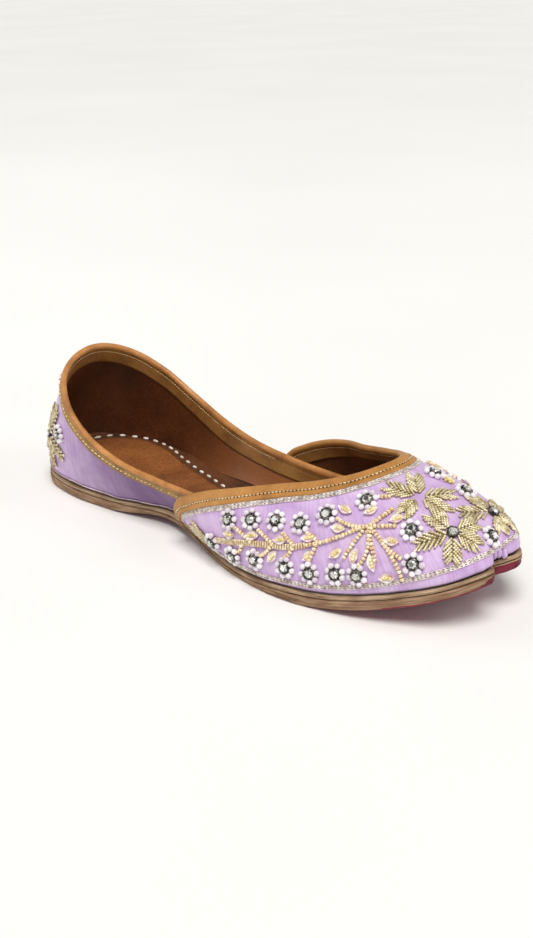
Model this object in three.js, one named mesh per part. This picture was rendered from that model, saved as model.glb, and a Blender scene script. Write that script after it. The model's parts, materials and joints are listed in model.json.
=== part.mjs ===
import * as THREE from 'three';

// Mojari shoe on a straight last, so it fits either foot. Millimetres, +Z up, +X toward the toe, +Y to its left.
// The heel's rear and the toe stand equally far from the origin, and the sole rests on Z = 0.

const shoeLength = 252;          // sole, heel rear to toe tip
const originShift = 126.03;      // distance from the heel's rear to the origin
const heelRise = 2.4;            // the sole's rear edge above the floor
const heelRiseRun = 24;
const archRise = 4.0;            // underside of the waist above the floor
const archStart = 56;
const archEnd = 134;
const toeRise = 18.5;            // toe tip above the floor
const toeRiseStart = 182;
const toeRisePower = 1.71;
const outsoleThick = 4.2;       // under the heel and the toe
const waistThick = 1.8;          // where the outsole is skived thin under the waist
const waistStart = 58;
const waistRun = 32;
const ballStart = 150;
const ballRun = 40;
const midsoleThick = 1.7;
const insoleThick = 2.0;         // under the ball of the foot
const heelPad = 3.6;             // extra thickness of the padded insole under the heel
const heelPadEnd = 100;
const heelPadRun = 55;
const pieceGap = 0.3;            // between pieces that are stitched or glued together
const vampWall = 1.9;            // silk, leather and lining together
const quarterWall = 1.9;
const bindingThick = 1.1;
const bindingGap = 0.45;         // between a binding and the upper that it folds over
const notchDepth = 9.5;          // the heart-shaped toe's notch
const notchHalf = 9;
const notchPower = 1.5;
const vampBindingOut = 7.5;      // depth of the vamp's edge binding outside and inside
const vampBindingIn = 5;
const quarterBindingOut = 4.6;
const quarterBindingIn = 9;

// Sole outline from the heel's rear to the toe tip: distance along the shoe, half width.
const outlineRows = [
  { x: 0, y: 0 },
  { x: 3.2, y: 14 },
  { x: 12, y: 22.8 },
  { x: 30, y: 28 },
  { x: 60, y: 28 },
  { x: 95, y: 24.2 },
  { x: 118, y: 29.4 },
  { x: 145, y: 38.6 },
  { x: 172, y: 42.6 },
  { x: 200, y: 39 },
  { x: 224, y: 31.6 },
  { x: 241, y: 23.6 },
  { x: 249.5, y: 13 },
  { x: shoeLength, y: 0 },
];

// Each rib of an upper piece runs from the sole to the top edge as one curve.
// foot: distance round the sole outline from the heel's rear; inset: foot's distance inside the outline;
// x, y, z: top edge; ax, ay, az: the rib's direction at the sole; bx, by, bz: its direction below the top.
const quarterRows = [
  { foot: 0, inset: 1.2, x: 22, y: 0, z: 64.6, ax: -3.5, ay: 0, az: 17, bx: -7, by: 0, bz: -15 },
  { foot: 15, inset: 1.2, x: 22.8, y: 10.4, z: 63, ax: -3, ay: 1.5, az: 17, bx: -6.5, by: 1, bz: -15 },
  { foot: 30, inset: 1.2, x: 27, y: 21.2, z: 58.4, ax: -2, ay: 3, az: 16, bx: -4.5, by: 1.5, bz: -14 },
  { foot: 48, inset: 1.2, x: 38.5, y: 31, z: 49, ax: 0, ay: 5, az: 14, bx: -2, by: 1.5, bz: -13 },
  { foot: 70, inset: 1.2, x: 55, y: 34.8, z: 38.2, ax: 0, ay: 5.5, az: 10, bx: -0.5, by: 0.2, bz: -10 },
  { foot: 92, inset: 1.5, x: 75, y: 34.2, z: 29.8, ax: 0, ay: 6, az: 6.5, bx: 0, by: -2, bz: -7 },
  { foot: 114, inset: 3, x: 95, y: 31.6, z: 25.5, ax: 0, ay: 5, az: 5, bx: 0, by: -3, bz: -5.5 },
  { foot: 137, inset: 5.2, x: 117.5, y: 29.8, z: 23.4, ax: 0, ay: 2.5, az: 5, bx: 0, by: -1.5, bz: -5.5 },
  { foot: 170, inset: 5.6, x: 150, y: 32.6, z: 20.4, ax: 0, ay: 1, az: 6, bx: 0, by: -0.5, bz: -6 },
];
const vampRows = [
  { foot: 124, inset: 0.9, x: 109.6, y: 29.8, z: 10.4, ax: 0, ay: 1, az: 1, bx: 0, by: -1, bz: -1 },
  { foot: 131, inset: 0.9, x: 110.2, y: 34.2, z: 17.2, ax: 0, ay: 4, az: 3, bx: 2.5, by: 0.5, bz: -4 },
  { foot: 138, inset: 0.9, x: 114, y: 36.5, z: 22.8, ax: 0, ay: 5.5, az: 5, bx: 3, by: 2.5, bz: -6 },
  { foot: 147, inset: 0.9, x: 121.2, y: 37.3, z: 27.2, ax: 0, ay: 6, az: 7, bx: 3.5, by: 3.5, bz: -8 },
  { foot: 159, inset: 0.9, x: 132, y: 37.2, z: 32, ax: 0, ay: 5, az: 9, bx: 3, by: 5, bz: -9 },
  { foot: 175, inset: 0.9, x: 146.3, y: 34.7, z: 36.4, ax: 0, ay: 4, az: 12, bx: 3, by: 7.5, bz: -9 },
  { foot: 195, inset: 0.9, x: 162.5, y: 27.4, z: 40.2, ax: -2, ay: 3, az: 13, bx: 4, by: 10, bz: -8 },
  { foot: 220, inset: 0.9, x: 179, y: 21.6, z: 44.2, ax: -1, ay: 2, az: 13, bx: 9, by: 12, bz: -8 },
  { foot: 248, inset: 0.9, x: 190.8, y: 14.8, z: 47.9, ax: 0.5, ay: 2, az: 12, bx: 18, by: 12, bz: -7.5 },
  { foot: 273, inset: 0.9, x: 197, y: 6.8, z: 50.4, ax: 2, ay: 1.5, az: 11, bx: 26, by: 7, bz: -6.5 },
  { foot: 'toe', inset: 0.9, x: 198.6, y: 0, z: 51, ax: 3, ay: 0, az: 11, bx: 29, by: 0, bz: -6 },
];
const ribKeys = ['foot', 'inset', 'x', 'y', 'z', 'ax', 'ay', 'az', 'bx', 'by', 'bz'];
const sideKeys = ['foot', 'y', 'ay', 'by'];

// A binding's cross-section, from its outer leaf's lower edge over the top to its inner leaf's lower edge.
// down: depth below the top edge; out: offset outward from the upper's outer face. The first pair is the
// leather's outer side, the second its inner side.
const bindingSection = (outside, inside, wall) => [
  [{ down: outside, out: bindingGap + 0.7 * bindingThick }, { down: outside, out: bindingGap }],
  [{ down: outside * 0.5, out: bindingGap + bindingThick }, { down: outside * 0.5, out: bindingGap }],
  [{ down: 0.9, out: bindingGap + bindingThick }, { down: 0.3, out: bindingGap }],
  [{ down: -0.9, out: 0.5 }, { down: -0.8 * bindingGap, out: -0.2 * wall }],
  [{ down: -1.4, out: -wall / 2 }, { down: -bindingGap, out: -wall / 2 }],
  [{ down: -0.9, out: -wall - 0.5 }, { down: -0.8 * bindingGap, out: -0.8 * wall }],
  [{ down: 0.9, out: -wall - bindingGap - bindingThick }, { down: 0.3, out: -wall - bindingGap }],
  [{ down: inside * 0.5, out: -wall - bindingGap - bindingThick }, { down: inside * 0.5, out: -wall - bindingGap }],
  [{ down: inside, out: -wall - bindingGap - 0.7 * bindingThick }, { down: inside, out: -wall - bindingGap }],
];

function lerp(a, b, t) {
  return a + (b - a) * t;
}

function clamp01(t) {
  return Math.min(1, Math.max(0, t));
}

// A smooth curve through rows of numbers, each row standing at its own place along the curve.
function smoothThrough(rows, places) {
  const last = rows.length - 1;
  const width = rows[0].length;
  const slopes = rows.map(() => new Array(width).fill(0));
  const step = (i, k) => (rows[i + 1][k] - rows[i][k]) / (places[i + 1] - places[i]);
  for (let k = 0; k < width; k += 1) {
    for (let i = 1; i < last; i += 1) {
      const before = places[i] - places[i - 1];
      const after = places[i + 1] - places[i];
      slopes[i][k] = (step(i - 1, k) * after + step(i, k) * before) / (before + after);
    }
    slopes[0][k] = 2 * step(0, k) - slopes[1][k];
    slopes[last][k] = 2 * step(last - 1, k) - slopes[last - 1][k];
  }
  return (place) => {
    const at = Math.min(places[last], Math.max(places[0], place));
    let i = 0;
    while (i < last - 1 && at > places[i + 1]) {
      i += 1;
    }
    const span = places[i + 1] - places[i];
    const t = (at - places[i]) / span;
    const a = 2 * t ** 3 - 3 * t ** 2 + 1;
    const b = t ** 3 - 2 * t ** 2 + t;
    const c = -2 * t ** 3 + 3 * t ** 2;
    const d = t ** 3 - t ** 2;
    return rows[i].map((value, k) => (
      a * value + b * span * slopes[i][k] + c * rows[i + 1][k] + d * span * slopes[i + 1][k]
    ));
  };
}

function placesAlong(points) {
  const places = [0];
  for (let i = 1; i < points.length; i += 1) {
    const step = Math.hypot(...points[i].map((value, k) => value - points[i - 1][k]));
    places.push(places[i - 1] + step);
  }
  return places;
}

// The whole sole outline as many short steps, wrapped a little past the heel so that it stays smooth there.
const halfPoints = outlineRows.map((row) => [row.x, row.y]);
const mirroredPoints = halfPoints.slice(1, -1).reverse().map(([x, y]) => [x, -y]);
const loopPoints = [...halfPoints, ...mirroredPoints];
const wrapped = [...loopPoints.slice(-2), ...loopPoints, ...loopPoints.slice(0, 3)];
const wrappedPlaces = placesAlong(wrapped);
const loopCurve = smoothThrough(wrapped, wrappedPlaces);
const outlineSteps = 3000;
const outlineFine = [];
for (let i = 0; i <= outlineSteps; i += 1) {
  outlineFine.push(loopCurve(lerp(wrappedPlaces[2], wrappedPlaces[wrapped.length - 3], i / outlineSteps)));
}
const finePlaces = placesAlong(outlineFine);
const outlineTotal = finePlaces[outlineSteps];
const outlineHalf = outlineTotal / 2;

function outlineAt(distance) {
  const d = ((distance % outlineTotal) + outlineTotal) % outlineTotal;
  let low = 0;
  let high = outlineSteps;
  while (high - low > 1) {
    const middle = (low + high) >> 1;
    if (finePlaces[middle] <= d) {
      low = middle;
    } else {
      high = middle;
    }
  }
  const t = (d - finePlaces[low]) / (finePlaces[high] - finePlaces[low]);
  return [0, 1].map((k) => lerp(outlineFine[low][k], outlineFine[high][k], t));
}

// A point of the outline moved inward, with or without the toe's notch.
function outlinePoint(distance, inset, notch) {
  const [x, y] = outlineAt(distance);
  const before = outlineAt(distance - 0.5);
  const after = outlineAt(distance + 0.5);
  const along = Math.hypot(after[0] - before[0], after[1] - before[1]);
  const px = x + (inset * (after[1] - before[1])) / along;
  const py = y - (inset * (after[0] - before[0])) / along;
  const near = notch && px > shoeLength / 2 ? clamp01(1 - Math.abs(py) / notchHalf) : 0;
  return [px - notchDepth * near ** notchPower, py];
}

// Height of the underside above the floor.
function floorGap(x) {
  const heel = heelRise * clamp01(1 - x / heelRiseRun) ** 2;
  const arch = archRise * Math.sin(Math.PI * clamp01((x - archStart) / (archEnd - archStart))) ** 2;
  const toe = toeRise * clamp01((x - toeRiseStart) / (shoeLength - toeRiseStart)) ** toeRisePower;
  return heel + arch + toe;
}

function smoothStep(t) {
  const s = clamp01(t);
  return s * s * (3 - 2 * s);
}

function outsoleThickness(x) {
  const thin = smoothStep((x - waistStart) / waistRun) * (1 - smoothStep((x - ballStart) / ballRun));
  return lerp(outsoleThick, waistThick, thin);
}

function midsoleBase(x) {
  return outsoleThickness(x) + pieceGap;
}

function insoleBase(x) {
  return midsoleBase(x) + midsoleThick + pieceGap;
}

function featherHeight(x) {
  return floorGap(x) + insoleBase(x);
}

// Both sides of an upper piece: the quarter's rows start at the heel, the vamp's end at the toe.
function bothSides(rows, meetAtHeel) {
  const centre = meetAtHeel ? 0 : outlineHalf;
  const plain = rows.map((row) => ribKeys.map((key) => (row[key] === 'toe' ? outlineHalf : row[key])));
  const flipped = plain.map((row) => row.map((value, k) => (sideKeys.includes(ribKeys[k]) ? -value : value)));
  flipped.forEach((row) => {
    row[0] += 2 * centre;
  });
  return meetAtHeel ? [...flipped.slice(1).reverse(), ...plain] : [...plain, ...flipped.slice(0, -1).reverse()];
}

function upperSurface(rows, meetAtHeel, notch) {
  const ribs = bothSides(rows, meetAtHeel);
  const places = placesAlong(ribs.map((row) => row.slice(2, 5)));
  const curve = smoothThrough(ribs, places);
  const length = places[places.length - 1];
  const point = (u, t) => {
    const [foot, inset, x, y, z, ax, ay, az, bx, by, bz] = curve(u * length);
    const [fx, fy] = outlinePoint(foot, inset, notch);
    const [gx, gy] = outlinePoint(foot, inset, false);
    const s = 1 - t;
    const weights = [s ** 3, 3 * s * s * t, 3 * s * t * t, t ** 3];
    const stops = [
      [fx, fy, featherHeight(fx)],
      [gx + ax, gy + ay, featherHeight(gx) + az],
      [x + bx, y + by, z + bz],
      [x, y, z],
    ];
    return new THREE.Vector3(...[0, 1, 2].map((k) => stops.reduce((sum, stop, i) => sum + weights[i] * stop[k], 0)));
  };
  const outward = (u, t) => {
    const along = point(Math.min(1, u + 0.003), t).sub(point(Math.max(0, u - 0.003), t));
    const up = point(u, Math.min(1, t + 0.01)).sub(point(u, Math.max(0, t - 0.01)));
    return up.cross(along).normalize();
  };
  return { point, outward };
}

// A closed solid from faces listed as corner indices.
function solid(name, points, quads, look) {
  const positions = new Float32Array(points.length * 3);
  points.forEach((p, i) => {
    positions.set([p.x - originShift, p.y, p.z], i * 3);
  });
  const index = [];
  quads.forEach(([a, b, c, d]) => {
    if (d === undefined) {
      index.push(a, b, c);
    } else if (points[a].distanceTo(points[c]) <= points[b].distanceTo(points[d])) {
      index.push(a, b, c, a, c, d);
    } else {
      index.push(a, b, d, b, c, d);
    }
  });
  let volume = 0;
  for (let i = 0; i < index.length; i += 3) {
    const [a, b, c] = [0, 1, 2].map((k) => points[index[i + k]]);
    volume += a.dot(new THREE.Vector3().crossVectors(b, c));
  }
  if (volume < 0) {
    for (let i = 0; i < index.length; i += 3) {
      [index[i + 1], index[i + 2]] = [index[i + 2], index[i + 1]];
    }
  }
  const geometry = new THREE.BufferGeometry();
  geometry.setAttribute('position', new THREE.BufferAttribute(positions, 3));
  geometry.setIndex(index);
  geometry.computeVertexNormals();
  const mesh = new THREE.Mesh(geometry, new THREE.MeshStandardMaterial(look));
  mesh.name = name;
  return mesh;
}

// A sheet with thickness: an outer and an inner grid of points joined round their rim.
function shellFromGrids(name, outer, inner, look) {
  const rows = outer.length;
  const columns = outer[0].length;
  const points = [...outer.flat(), ...inner.flat()];
  const shift = rows * columns;
  const at = (i, j, layer) => i * columns + j + layer * shift;
  const quads = [];
  for (let i = 0; i < rows - 1; i += 1) {
    for (let j = 0; j < columns - 1; j += 1) {
      quads.push([at(i, j, 0), at(i + 1, j, 0), at(i + 1, j + 1, 0), at(i, j + 1, 0)]);
      quads.push([at(i, j, 1), at(i, j + 1, 1), at(i + 1, j + 1, 1), at(i + 1, j, 1)]);
    }
  }
  for (let i = 0; i < rows - 1; i += 1) {
    quads.push([at(i, 0, 0), at(i, 0, 1), at(i + 1, 0, 1), at(i + 1, 0, 0)]);
    quads.push([at(i, columns - 1, 0), at(i + 1, columns - 1, 0), at(i + 1, columns - 1, 1), at(i, columns - 1, 1)]);
  }
  for (let j = 0; j < columns - 1; j += 1) {
    quads.push([at(0, j, 0), at(0, j + 1, 0), at(0, j + 1, 1), at(0, j, 1)]);
    quads.push([at(rows - 1, j, 0), at(rows - 1, j, 1), at(rows - 1, j + 1, 1), at(rows - 1, j + 1, 0)]);
  }
  return solid(name, points, quads, look);
}

// Places of the ribs along an upper piece, closer together at its middle and its ends, which may be skipped.
function ribPlaces(ribCount, skipped) {
  const places = [];
  for (let i = 0; i <= ribCount; i += 1) {
    const s = i / ribCount;
    places.push(s - (0.7 * Math.sin(4 * Math.PI * s)) / (4 * Math.PI));
  }
  return places.slice(skipped, ribCount + 1 - skipped);
}

function upperShell(name, surface, wall, ribCount, ringCount, look) {
  const outer = [];
  const inner = [];
  ribPlaces(ribCount, 0).forEach((u) => {
    const outerRib = [];
    const innerRib = [];
    for (let j = 0; j <= ringCount; j += 1) {
      const p = surface.point(u, j / ringCount);
      const q = p.clone().addScaledVector(surface.outward(u, j / ringCount), -wall);
      q.z = Math.max(q.z, featherHeight(q.x));
      outerRib.push(p);
      innerRib.push(q);
    }
    outer.push(outerRib);
    inner.push(innerRib);
  });
  return shellFromGrids(name, outer, inner, look);
}

// A binding folded over the top edge, swept along it with the section given.
function edgeBinding(name, surface, section, skipped, ribCount, look) {
  const grids = [[], []];
  ribPlaces(ribCount, skipped).forEach((u) => {
    const rib = [];
    for (let k = 0; k <= 40; k += 1) {
      rib.push(surface.point(u, 1 - k / 40));
    }
    const depths = placesAlong(rib.map((p) => p.toArray()));
    const ribLength = depths[40];
    const upward = rib[0].clone().sub(rib[1]).normalize();
    const endLift = 0.25 * clamp01(1 - Math.min(u, 1 - u) / 0.06);
    const place = ({ down, out }) => {
      const depth = Math.min(down, ribLength * (out > 0 ? 0.86 : 0.5));
      let k = 0;
      while (k < 39 && depths[k + 1] < depth) {
        k += 1;
      }
      const t = clamp01(1 - (k + (Math.max(0, depth) - depths[k]) / (depths[k + 1] - depths[k])) / 40);
      const p = surface.point(u, t).addScaledVector(surface.outward(u, t), out + (out > 0 ? endLift : -endLift));
      p.addScaledVector(upward, Math.max(0, -depth));
      p.z = Math.max(p.z, featherHeight(p.x));
      return p;
    };
    grids[0].push(section.map((pair) => place(pair[0])));
    grids[1].push(section.map((pair) => place(pair[1])));
  });
  return shellFromGrids(name, grids[0], grids[1], look);
}

// A sole layer: rows across the shoe from the heel to the toe, and an edge rounded by insets at set heights.
function soleLayer(name, base, thick, edge, rowCount, columnCount, look) {
  const heelReach = 9;
  const toeReach = 10;
  const layerGrid = (inset, height) => {
    const rows = [];
    for (let i = 0; i <= rowCount; i += 1) {
      const distance = lerp(heelReach, outlineHalf - toeReach, i / rowCount);
      const [x, y] = outlinePoint(distance, inset(distance), false);
      const row = [];
      for (let j = 0; j <= columnCount; j += 1) {
        const side = (2 * j) / columnCount - 1;
        const heelBow = outlinePoint(heelReach * side, inset(0), false)[0]
          - outlinePoint(heelReach, inset(0), false)[0];
        const toeBow = outlinePoint(outlineHalf - toeReach * side, inset(outlineHalf), true)[0]
          - outlinePoint(outlineHalf - toeReach, inset(outlineHalf), true)[0];
        const px = x + heelBow * clamp01(1 - (5 * i) / rowCount) ** 2
          + toeBow * clamp01(1 - (8 * (rowCount - i)) / rowCount) ** 2;
        row.push(new THREE.Vector3(px, y * side, floorGap(px) + base(px) + thick(px) * height));
      }
      rows.push(row);
    }
    return rows;
  };
  const grids = edge.map(({ inset, height }) => layerGrid(inset, height));
  const rows = rowCount + 1;
  const columns = columnCount + 1;
  const points = [...grids[0].flat(), ...grids[grids.length - 1].flat()];
  const rim = [];
  for (let j = 0; j < columns - 1; j += 1) {
    rim.push([0, j]);
  }
  for (let i = 0; i < rows - 1; i += 1) {
    rim.push([i, columns - 1]);
  }
  for (let j = columns - 1; j > 0; j -= 1) {
    rim.push([rows - 1, j]);
  }
  for (let i = rows - 1; i > 0; i -= 1) {
    rim.push([i, 0]);
  }
  const quads = [];
  const at = (i, j, layer) => layer * rows * columns + i * columns + j;
  for (let i = 0; i < rows - 1; i += 1) {
    for (let j = 0; j < columns - 1; j += 1) {
      quads.push([at(i, j, 0), at(i + 1, j, 0), at(i + 1, j + 1, 0), at(i, j + 1, 0)]);
      quads.push([at(i, j, 1), at(i, j + 1, 1), at(i + 1, j + 1, 1), at(i + 1, j, 1)]);
    }
  }
  const rings = grids.map((grid, g) => {
    if (g === 0) {
      return rim.map(([i, j]) => at(i, j, 0));
    }
    if (g === grids.length - 1) {
      return rim.map(([i, j]) => at(i, j, 1));
    }
    return rim.map(([i, j]) => points.push(grid[i][j]) - 1);
  });
  for (let g = 0; g < rings.length - 1; g += 1) {
    for (let k = 0; k < rim.length; k += 1) {
      const next = (k + 1) % rim.length;
      quads.push([rings[g][k], rings[g][next], rings[g + 1][next], rings[g + 1][k]]);
    }
  }
  return solid(name, points, quads, look);
}

const leatherEdge = [
  { inset: () => 1.6, height: 0 },
  { inset: () => 0.3, height: 0.25 },
  { inset: () => 0, height: 0.6 },
  { inset: () => 0.2, height: 1 },
];
const midsoleEdge = [
  { inset: () => 0.5, height: 0 },
  { inset: () => 0.2, height: 0.5 },
  { inset: () => 0.6, height: 1 },
];

// The insole stays clear of the walls, and of the quarter's ends where they stand inside the vamp.
function insoleInset(distance) {
  const overlap = clamp01((distance - 80) / 50) * clamp01((206 - distance) / 30);
  return lerp(3.9, 7.9, overlap);
}
function insoleThickness(x) {
  return insoleThick + heelPad * smoothStep((heelPadEnd - x) / heelPadRun);
}
const insoleEdge = [
  { inset: insoleInset, height: 0 },
  { inset: (distance) => insoleInset(distance) - 0.8 * clamp01((90 - distance) / 40), height: 1 },
];

const silk = { color: '#c4a2db', roughness: 0.6, metalness: 0 };
const tanLeather = { color: '#c08b48', roughness: 0.55, metalness: 0 };
const soleLeather = { color: '#a07850', roughness: 0.8, metalness: 0 };
const brownLeather = { color: '#84502a', roughness: 0.6, metalness: 0 };

const quarterSurface = upperSurface(quarterRows, true, false);
const vampSurface = upperSurface(vampRows, false, true);

const shoe = new THREE.Group();
shoe.name = 'mojari_shoe';
shoe.add(soleLayer('outsole', () => 0, outsoleThickness, leatherEdge, 38, 8, soleLeather));
shoe.add(soleLayer('midsole', midsoleBase, () => midsoleThick, midsoleEdge, 38, 8, { ...soleLeather, color: '#8e6642' }));
shoe.add(soleLayer('insole', insoleBase, insoleThickness, insoleEdge, 36, 6, brownLeather));
shoe.add(upperShell('vamp', vampSurface, vampWall, 70, 9, silk));
shoe.add(upperShell('quarter', quarterSurface, quarterWall, 48, 8, silk));
shoe.add(edgeBinding('vamp_binding', vampSurface, bindingSection(vampBindingOut, vampBindingIn, vampWall), 4, 70, tanLeather));
shoe.add(edgeBinding('quarter_binding', quarterSurface,
  bindingSection(quarterBindingOut, quarterBindingIn, quarterWall), 0, 48, tanLeather));

export default shoe;
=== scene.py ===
import json
import math
from types import SimpleNamespace

import bpy
import numpy as np
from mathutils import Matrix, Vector
from mathutils.bvhtree import BVHTree

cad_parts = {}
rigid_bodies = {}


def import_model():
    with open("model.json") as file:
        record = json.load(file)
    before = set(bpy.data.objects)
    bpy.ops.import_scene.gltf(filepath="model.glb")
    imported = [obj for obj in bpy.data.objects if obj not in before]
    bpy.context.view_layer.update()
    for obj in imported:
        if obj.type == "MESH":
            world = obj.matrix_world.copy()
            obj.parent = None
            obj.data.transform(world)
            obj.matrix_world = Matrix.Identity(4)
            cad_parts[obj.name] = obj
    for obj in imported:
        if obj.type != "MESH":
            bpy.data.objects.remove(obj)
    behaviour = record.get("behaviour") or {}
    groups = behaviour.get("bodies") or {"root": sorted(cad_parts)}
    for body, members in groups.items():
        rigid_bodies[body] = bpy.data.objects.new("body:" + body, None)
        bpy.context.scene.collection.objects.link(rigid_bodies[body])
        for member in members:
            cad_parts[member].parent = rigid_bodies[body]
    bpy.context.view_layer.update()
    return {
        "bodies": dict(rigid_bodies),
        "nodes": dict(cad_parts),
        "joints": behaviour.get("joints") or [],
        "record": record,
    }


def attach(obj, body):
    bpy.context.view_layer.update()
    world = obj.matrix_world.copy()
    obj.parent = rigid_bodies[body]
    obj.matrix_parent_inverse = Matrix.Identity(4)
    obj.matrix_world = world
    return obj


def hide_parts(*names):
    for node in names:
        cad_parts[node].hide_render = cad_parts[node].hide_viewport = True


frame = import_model()
print("frame loaded:", sorted(frame["nodes"]))

# The camera stands ahead and to the right of the shoe and looks down into the collar.
cameraSetup = {
    "place": (0.3409, -0.3679, 0.2341),
    "aim": (0.002, 0.004, 0.028),
    "roll": -1.19,
    "lens": 48.4,
}


def addCamera(setup):
    data = bpy.data.cameras.new("camera")
    data.lens = setup["lens"]
    data.clip_start = 0.01
    camera = bpy.data.objects.new("camera", data)
    camera.location = setup["place"]
    look = Vector(setup["aim"]) - camera.location
    turn = look.to_track_quat("-Z", "Y").to_matrix().to_4x4()
    camera.rotation_euler = turn.to_euler()
    camera.rotation_euler.rotate_axis("Z", math.radians(setup["roll"]))
    bpy.context.scene.collection.objects.link(camera)
    bpy.context.scene.camera = camera


addCamera(cameraSetup)
bpy.context.scene.view_settings.view_transform = "Standard"

# Main sizes of the shoe in millimetres, the same as the solids'.
lastShape = {
    "length": 252.0,
    "originShift": 126.03,
    "heelRise": 2.4,
    "heelRiseRun": 24.0,
    "archRise": 4.0,
    "archStart": 56.0,
    "archEnd": 134.0,
    "toeRise": 18.5,
    "toeRiseStart": 182.0,
    "toeRisePower": 1.71,
    "outsole": 4.2,
    "waistOutsole": 1.8,
    "waistStart": 58.0,
    "waistRun": 32.0,
    "ballStart": 150.0,
    "ballRun": 40.0,
    "midsole": 1.7,
    "insole": 2.0,
    "heelPad": 3.6,
    "heelPadEnd": 100.0,
    "heelPadRun": 55.0,
    "gap": 0.3,
    "wall": 1.9,
    "rimWall": 1.2,
    "notchDepth": 9.5,
    "notchHalf": 9.0,
    "notchPower": 1.5,
}
# Sole outline: distance along the shoe, half width.
outlineRows = [
    (0, 0), (3.2, 14), (12, 22.8), (30, 28), (60, 28), (95, 24.2), (118, 29.4),
    (145, 38.6), (172, 42.6), (200, 39), (224, 31.6), (241, 23.6), (249.5, 13), (252, 0),
]
# Ribs of the upper: foot's distance round the outline, inset, top x y z, lean at the sole and at the top.
quarterRows = [
    (0, 1.2, 22, 0, 64.6, -3.5, 0, 17, -7, 0, -15),
    (15, 1.2, 22.8, 10.4, 63, -3, 1.5, 17, -6.5, 1, -15),
    (30, 1.2, 27, 21.2, 58.4, -2, 3, 16, -4.5, 1.5, -14),
    (48, 1.2, 38.5, 31, 49, 0, 5, 14, -2, 1.5, -13),
    (70, 1.2, 55, 34.8, 38.2, 0, 5.5, 10, -0.5, 0.2, -10),
    (92, 1.5, 75, 34.2, 29.8, 0, 6, 6.5, 0, -2, -7),
    (114, 3, 95, 31.6, 25.5, 0, 5, 5, 0, -3, -5.5),
    (137, 5.2, 117.5, 29.8, 23.4, 0, 2.5, 5, 0, -1.5, -5.5),
    (170, 5.6, 150, 32.6, 20.4, 0, 1, 6, 0, -0.5, -6),
]
vampRows = [
    (124, 0.9, 109.6, 29.8, 10.4, 0, 1, 1, 0, -1, -1),
    (131, 0.9, 110.2, 34.2, 17.2, 0, 4, 3, 2.5, 0.5, -4),
    (138, 0.9, 114, 36.5, 22.8, 0, 5.5, 5, 3, 2.5, -6),
    (147, 0.9, 121.2, 37.3, 27.2, 0, 6, 7, 3.5, 3.5, -8),
    (159, 0.9, 132, 37.2, 32, 0, 5, 9, 3, 5, -9),
    (175, 0.9, 146.3, 34.7, 36.4, 0, 4, 12, 3, 7.5, -9),
    (195, 0.9, 162.5, 27.4, 40.2, -2, 3, 13, 4, 10, -8),
    (220, 0.9, 179, 21.6, 44.2, -1, 2, 13, 9, 12, -8),
    (248, 0.9, 190.8, 14.8, 47.9, 0.5, 2, 12, 18, 12, -7.5),
    (273, 0.9, 197, 6.8, 50.4, 2, 1.5, 11, 26, 7, -6.5),
    (None, 0.9, 198.6, 0, 51, 3, 0, 11, 29, 0, -6),
]


def smoothCurve(rows, places):
    rows, places = np.asarray(rows, float), np.asarray(places, float)
    step = np.diff(places)[:, None]
    slope = np.diff(rows, axis=0) / step
    tangents = np.zeros_like(rows)
    tangents[1:-1] = (slope[:-1] * step[1:] + slope[1:] * step[:-1]) / (step[:-1] + step[1:])
    tangents[0] = 2 * slope[0] - tangents[1]
    tangents[-1] = 2 * slope[-1] - tangents[-2]

    def at(where):
        where = np.clip(np.asarray(where, float), places[0], places[-1])
        i = np.clip(np.searchsorted(places, where, side="right") - 1, 0, len(rows) - 2)
        t = ((where - places[i]) / step[i, 0])[..., None]
        h = step[i]
        return ((2 * t**3 - 3 * t**2 + 1) * rows[i] + (t**3 - 2 * t**2 + t) * h * tangents[i]
                + (3 * t**2 - 2 * t**3) * rows[i + 1] + (t**3 - t**2) * h * tangents[i + 1])
    return at


def placesAlong(points):
    steps = np.linalg.norm(np.diff(np.asarray(points, float), axis=0), axis=1)
    return np.concatenate([[0], np.cumsum(steps)])


# Where a path is at given distances along it.
def pathAt(points, places, where):
    return np.stack([np.interp(where, places, points[:, k]) for k in range(points.shape[1])], -1)


def unit(vectors):
    return vectors / np.maximum(np.linalg.norm(vectors, axis=-1, keepdims=True), 1e-9)


halfOutline = np.array(outlineRows, float)
loopPoints = np.vstack([halfOutline, halfOutline[-2:0:-1] * (1, -1)])
wrapped = np.vstack([loopPoints[-2:], loopPoints, loopPoints[:3]])
wrappedPlaces = placesAlong(wrapped)
fineOutline = smoothCurve(wrapped, wrappedPlaces)(np.linspace(wrappedPlaces[2], wrappedPlaces[-3], 6001))
finePlaces = placesAlong(fineOutline)
outlineTotal = finePlaces[-1]
outlineHalf = outlineTotal / 2


def outlineAt(distance):
    return pathAt(fineOutline, finePlaces, np.mod(distance, outlineTotal))


# A point on the sole's outline, moved inward, with the notch of the heart-shaped toe.
def outlinePoint(distance, inset=0.0, notch=False):
    distance = np.asarray(distance, float)
    here, back, ahead = outlineAt(distance), outlineAt(distance - 0.5), outlineAt(distance + 0.5)
    run = unit(ahead - back)
    x = here[..., 0] + inset * run[..., 1]
    y = here[..., 1] - inset * run[..., 0]
    if notch:
        near = np.clip(1 - np.abs(y) / lastShape["notchHalf"], 0, 1) * (x > lastShape["length"] / 2)
        x = x - lastShape["notchDepth"] * near ** lastShape["notchPower"]
    return x, y


def floorGap(x):
    s = lastShape
    heel = s["heelRise"] * np.clip(1 - x / s["heelRiseRun"], 0, 1) ** 2
    intoArch = np.clip((x - s["archStart"]) / (s["archEnd"] - s["archStart"]), 0, 1)
    arch = s["archRise"] * np.sin(np.pi * intoArch) ** 2
    intoToe = np.clip((x - s["toeRiseStart"]) / (s["length"] - s["toeRiseStart"]), 0, 1)
    return heel + arch + s["toeRise"] * intoToe ** s["toeRisePower"]


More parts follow.
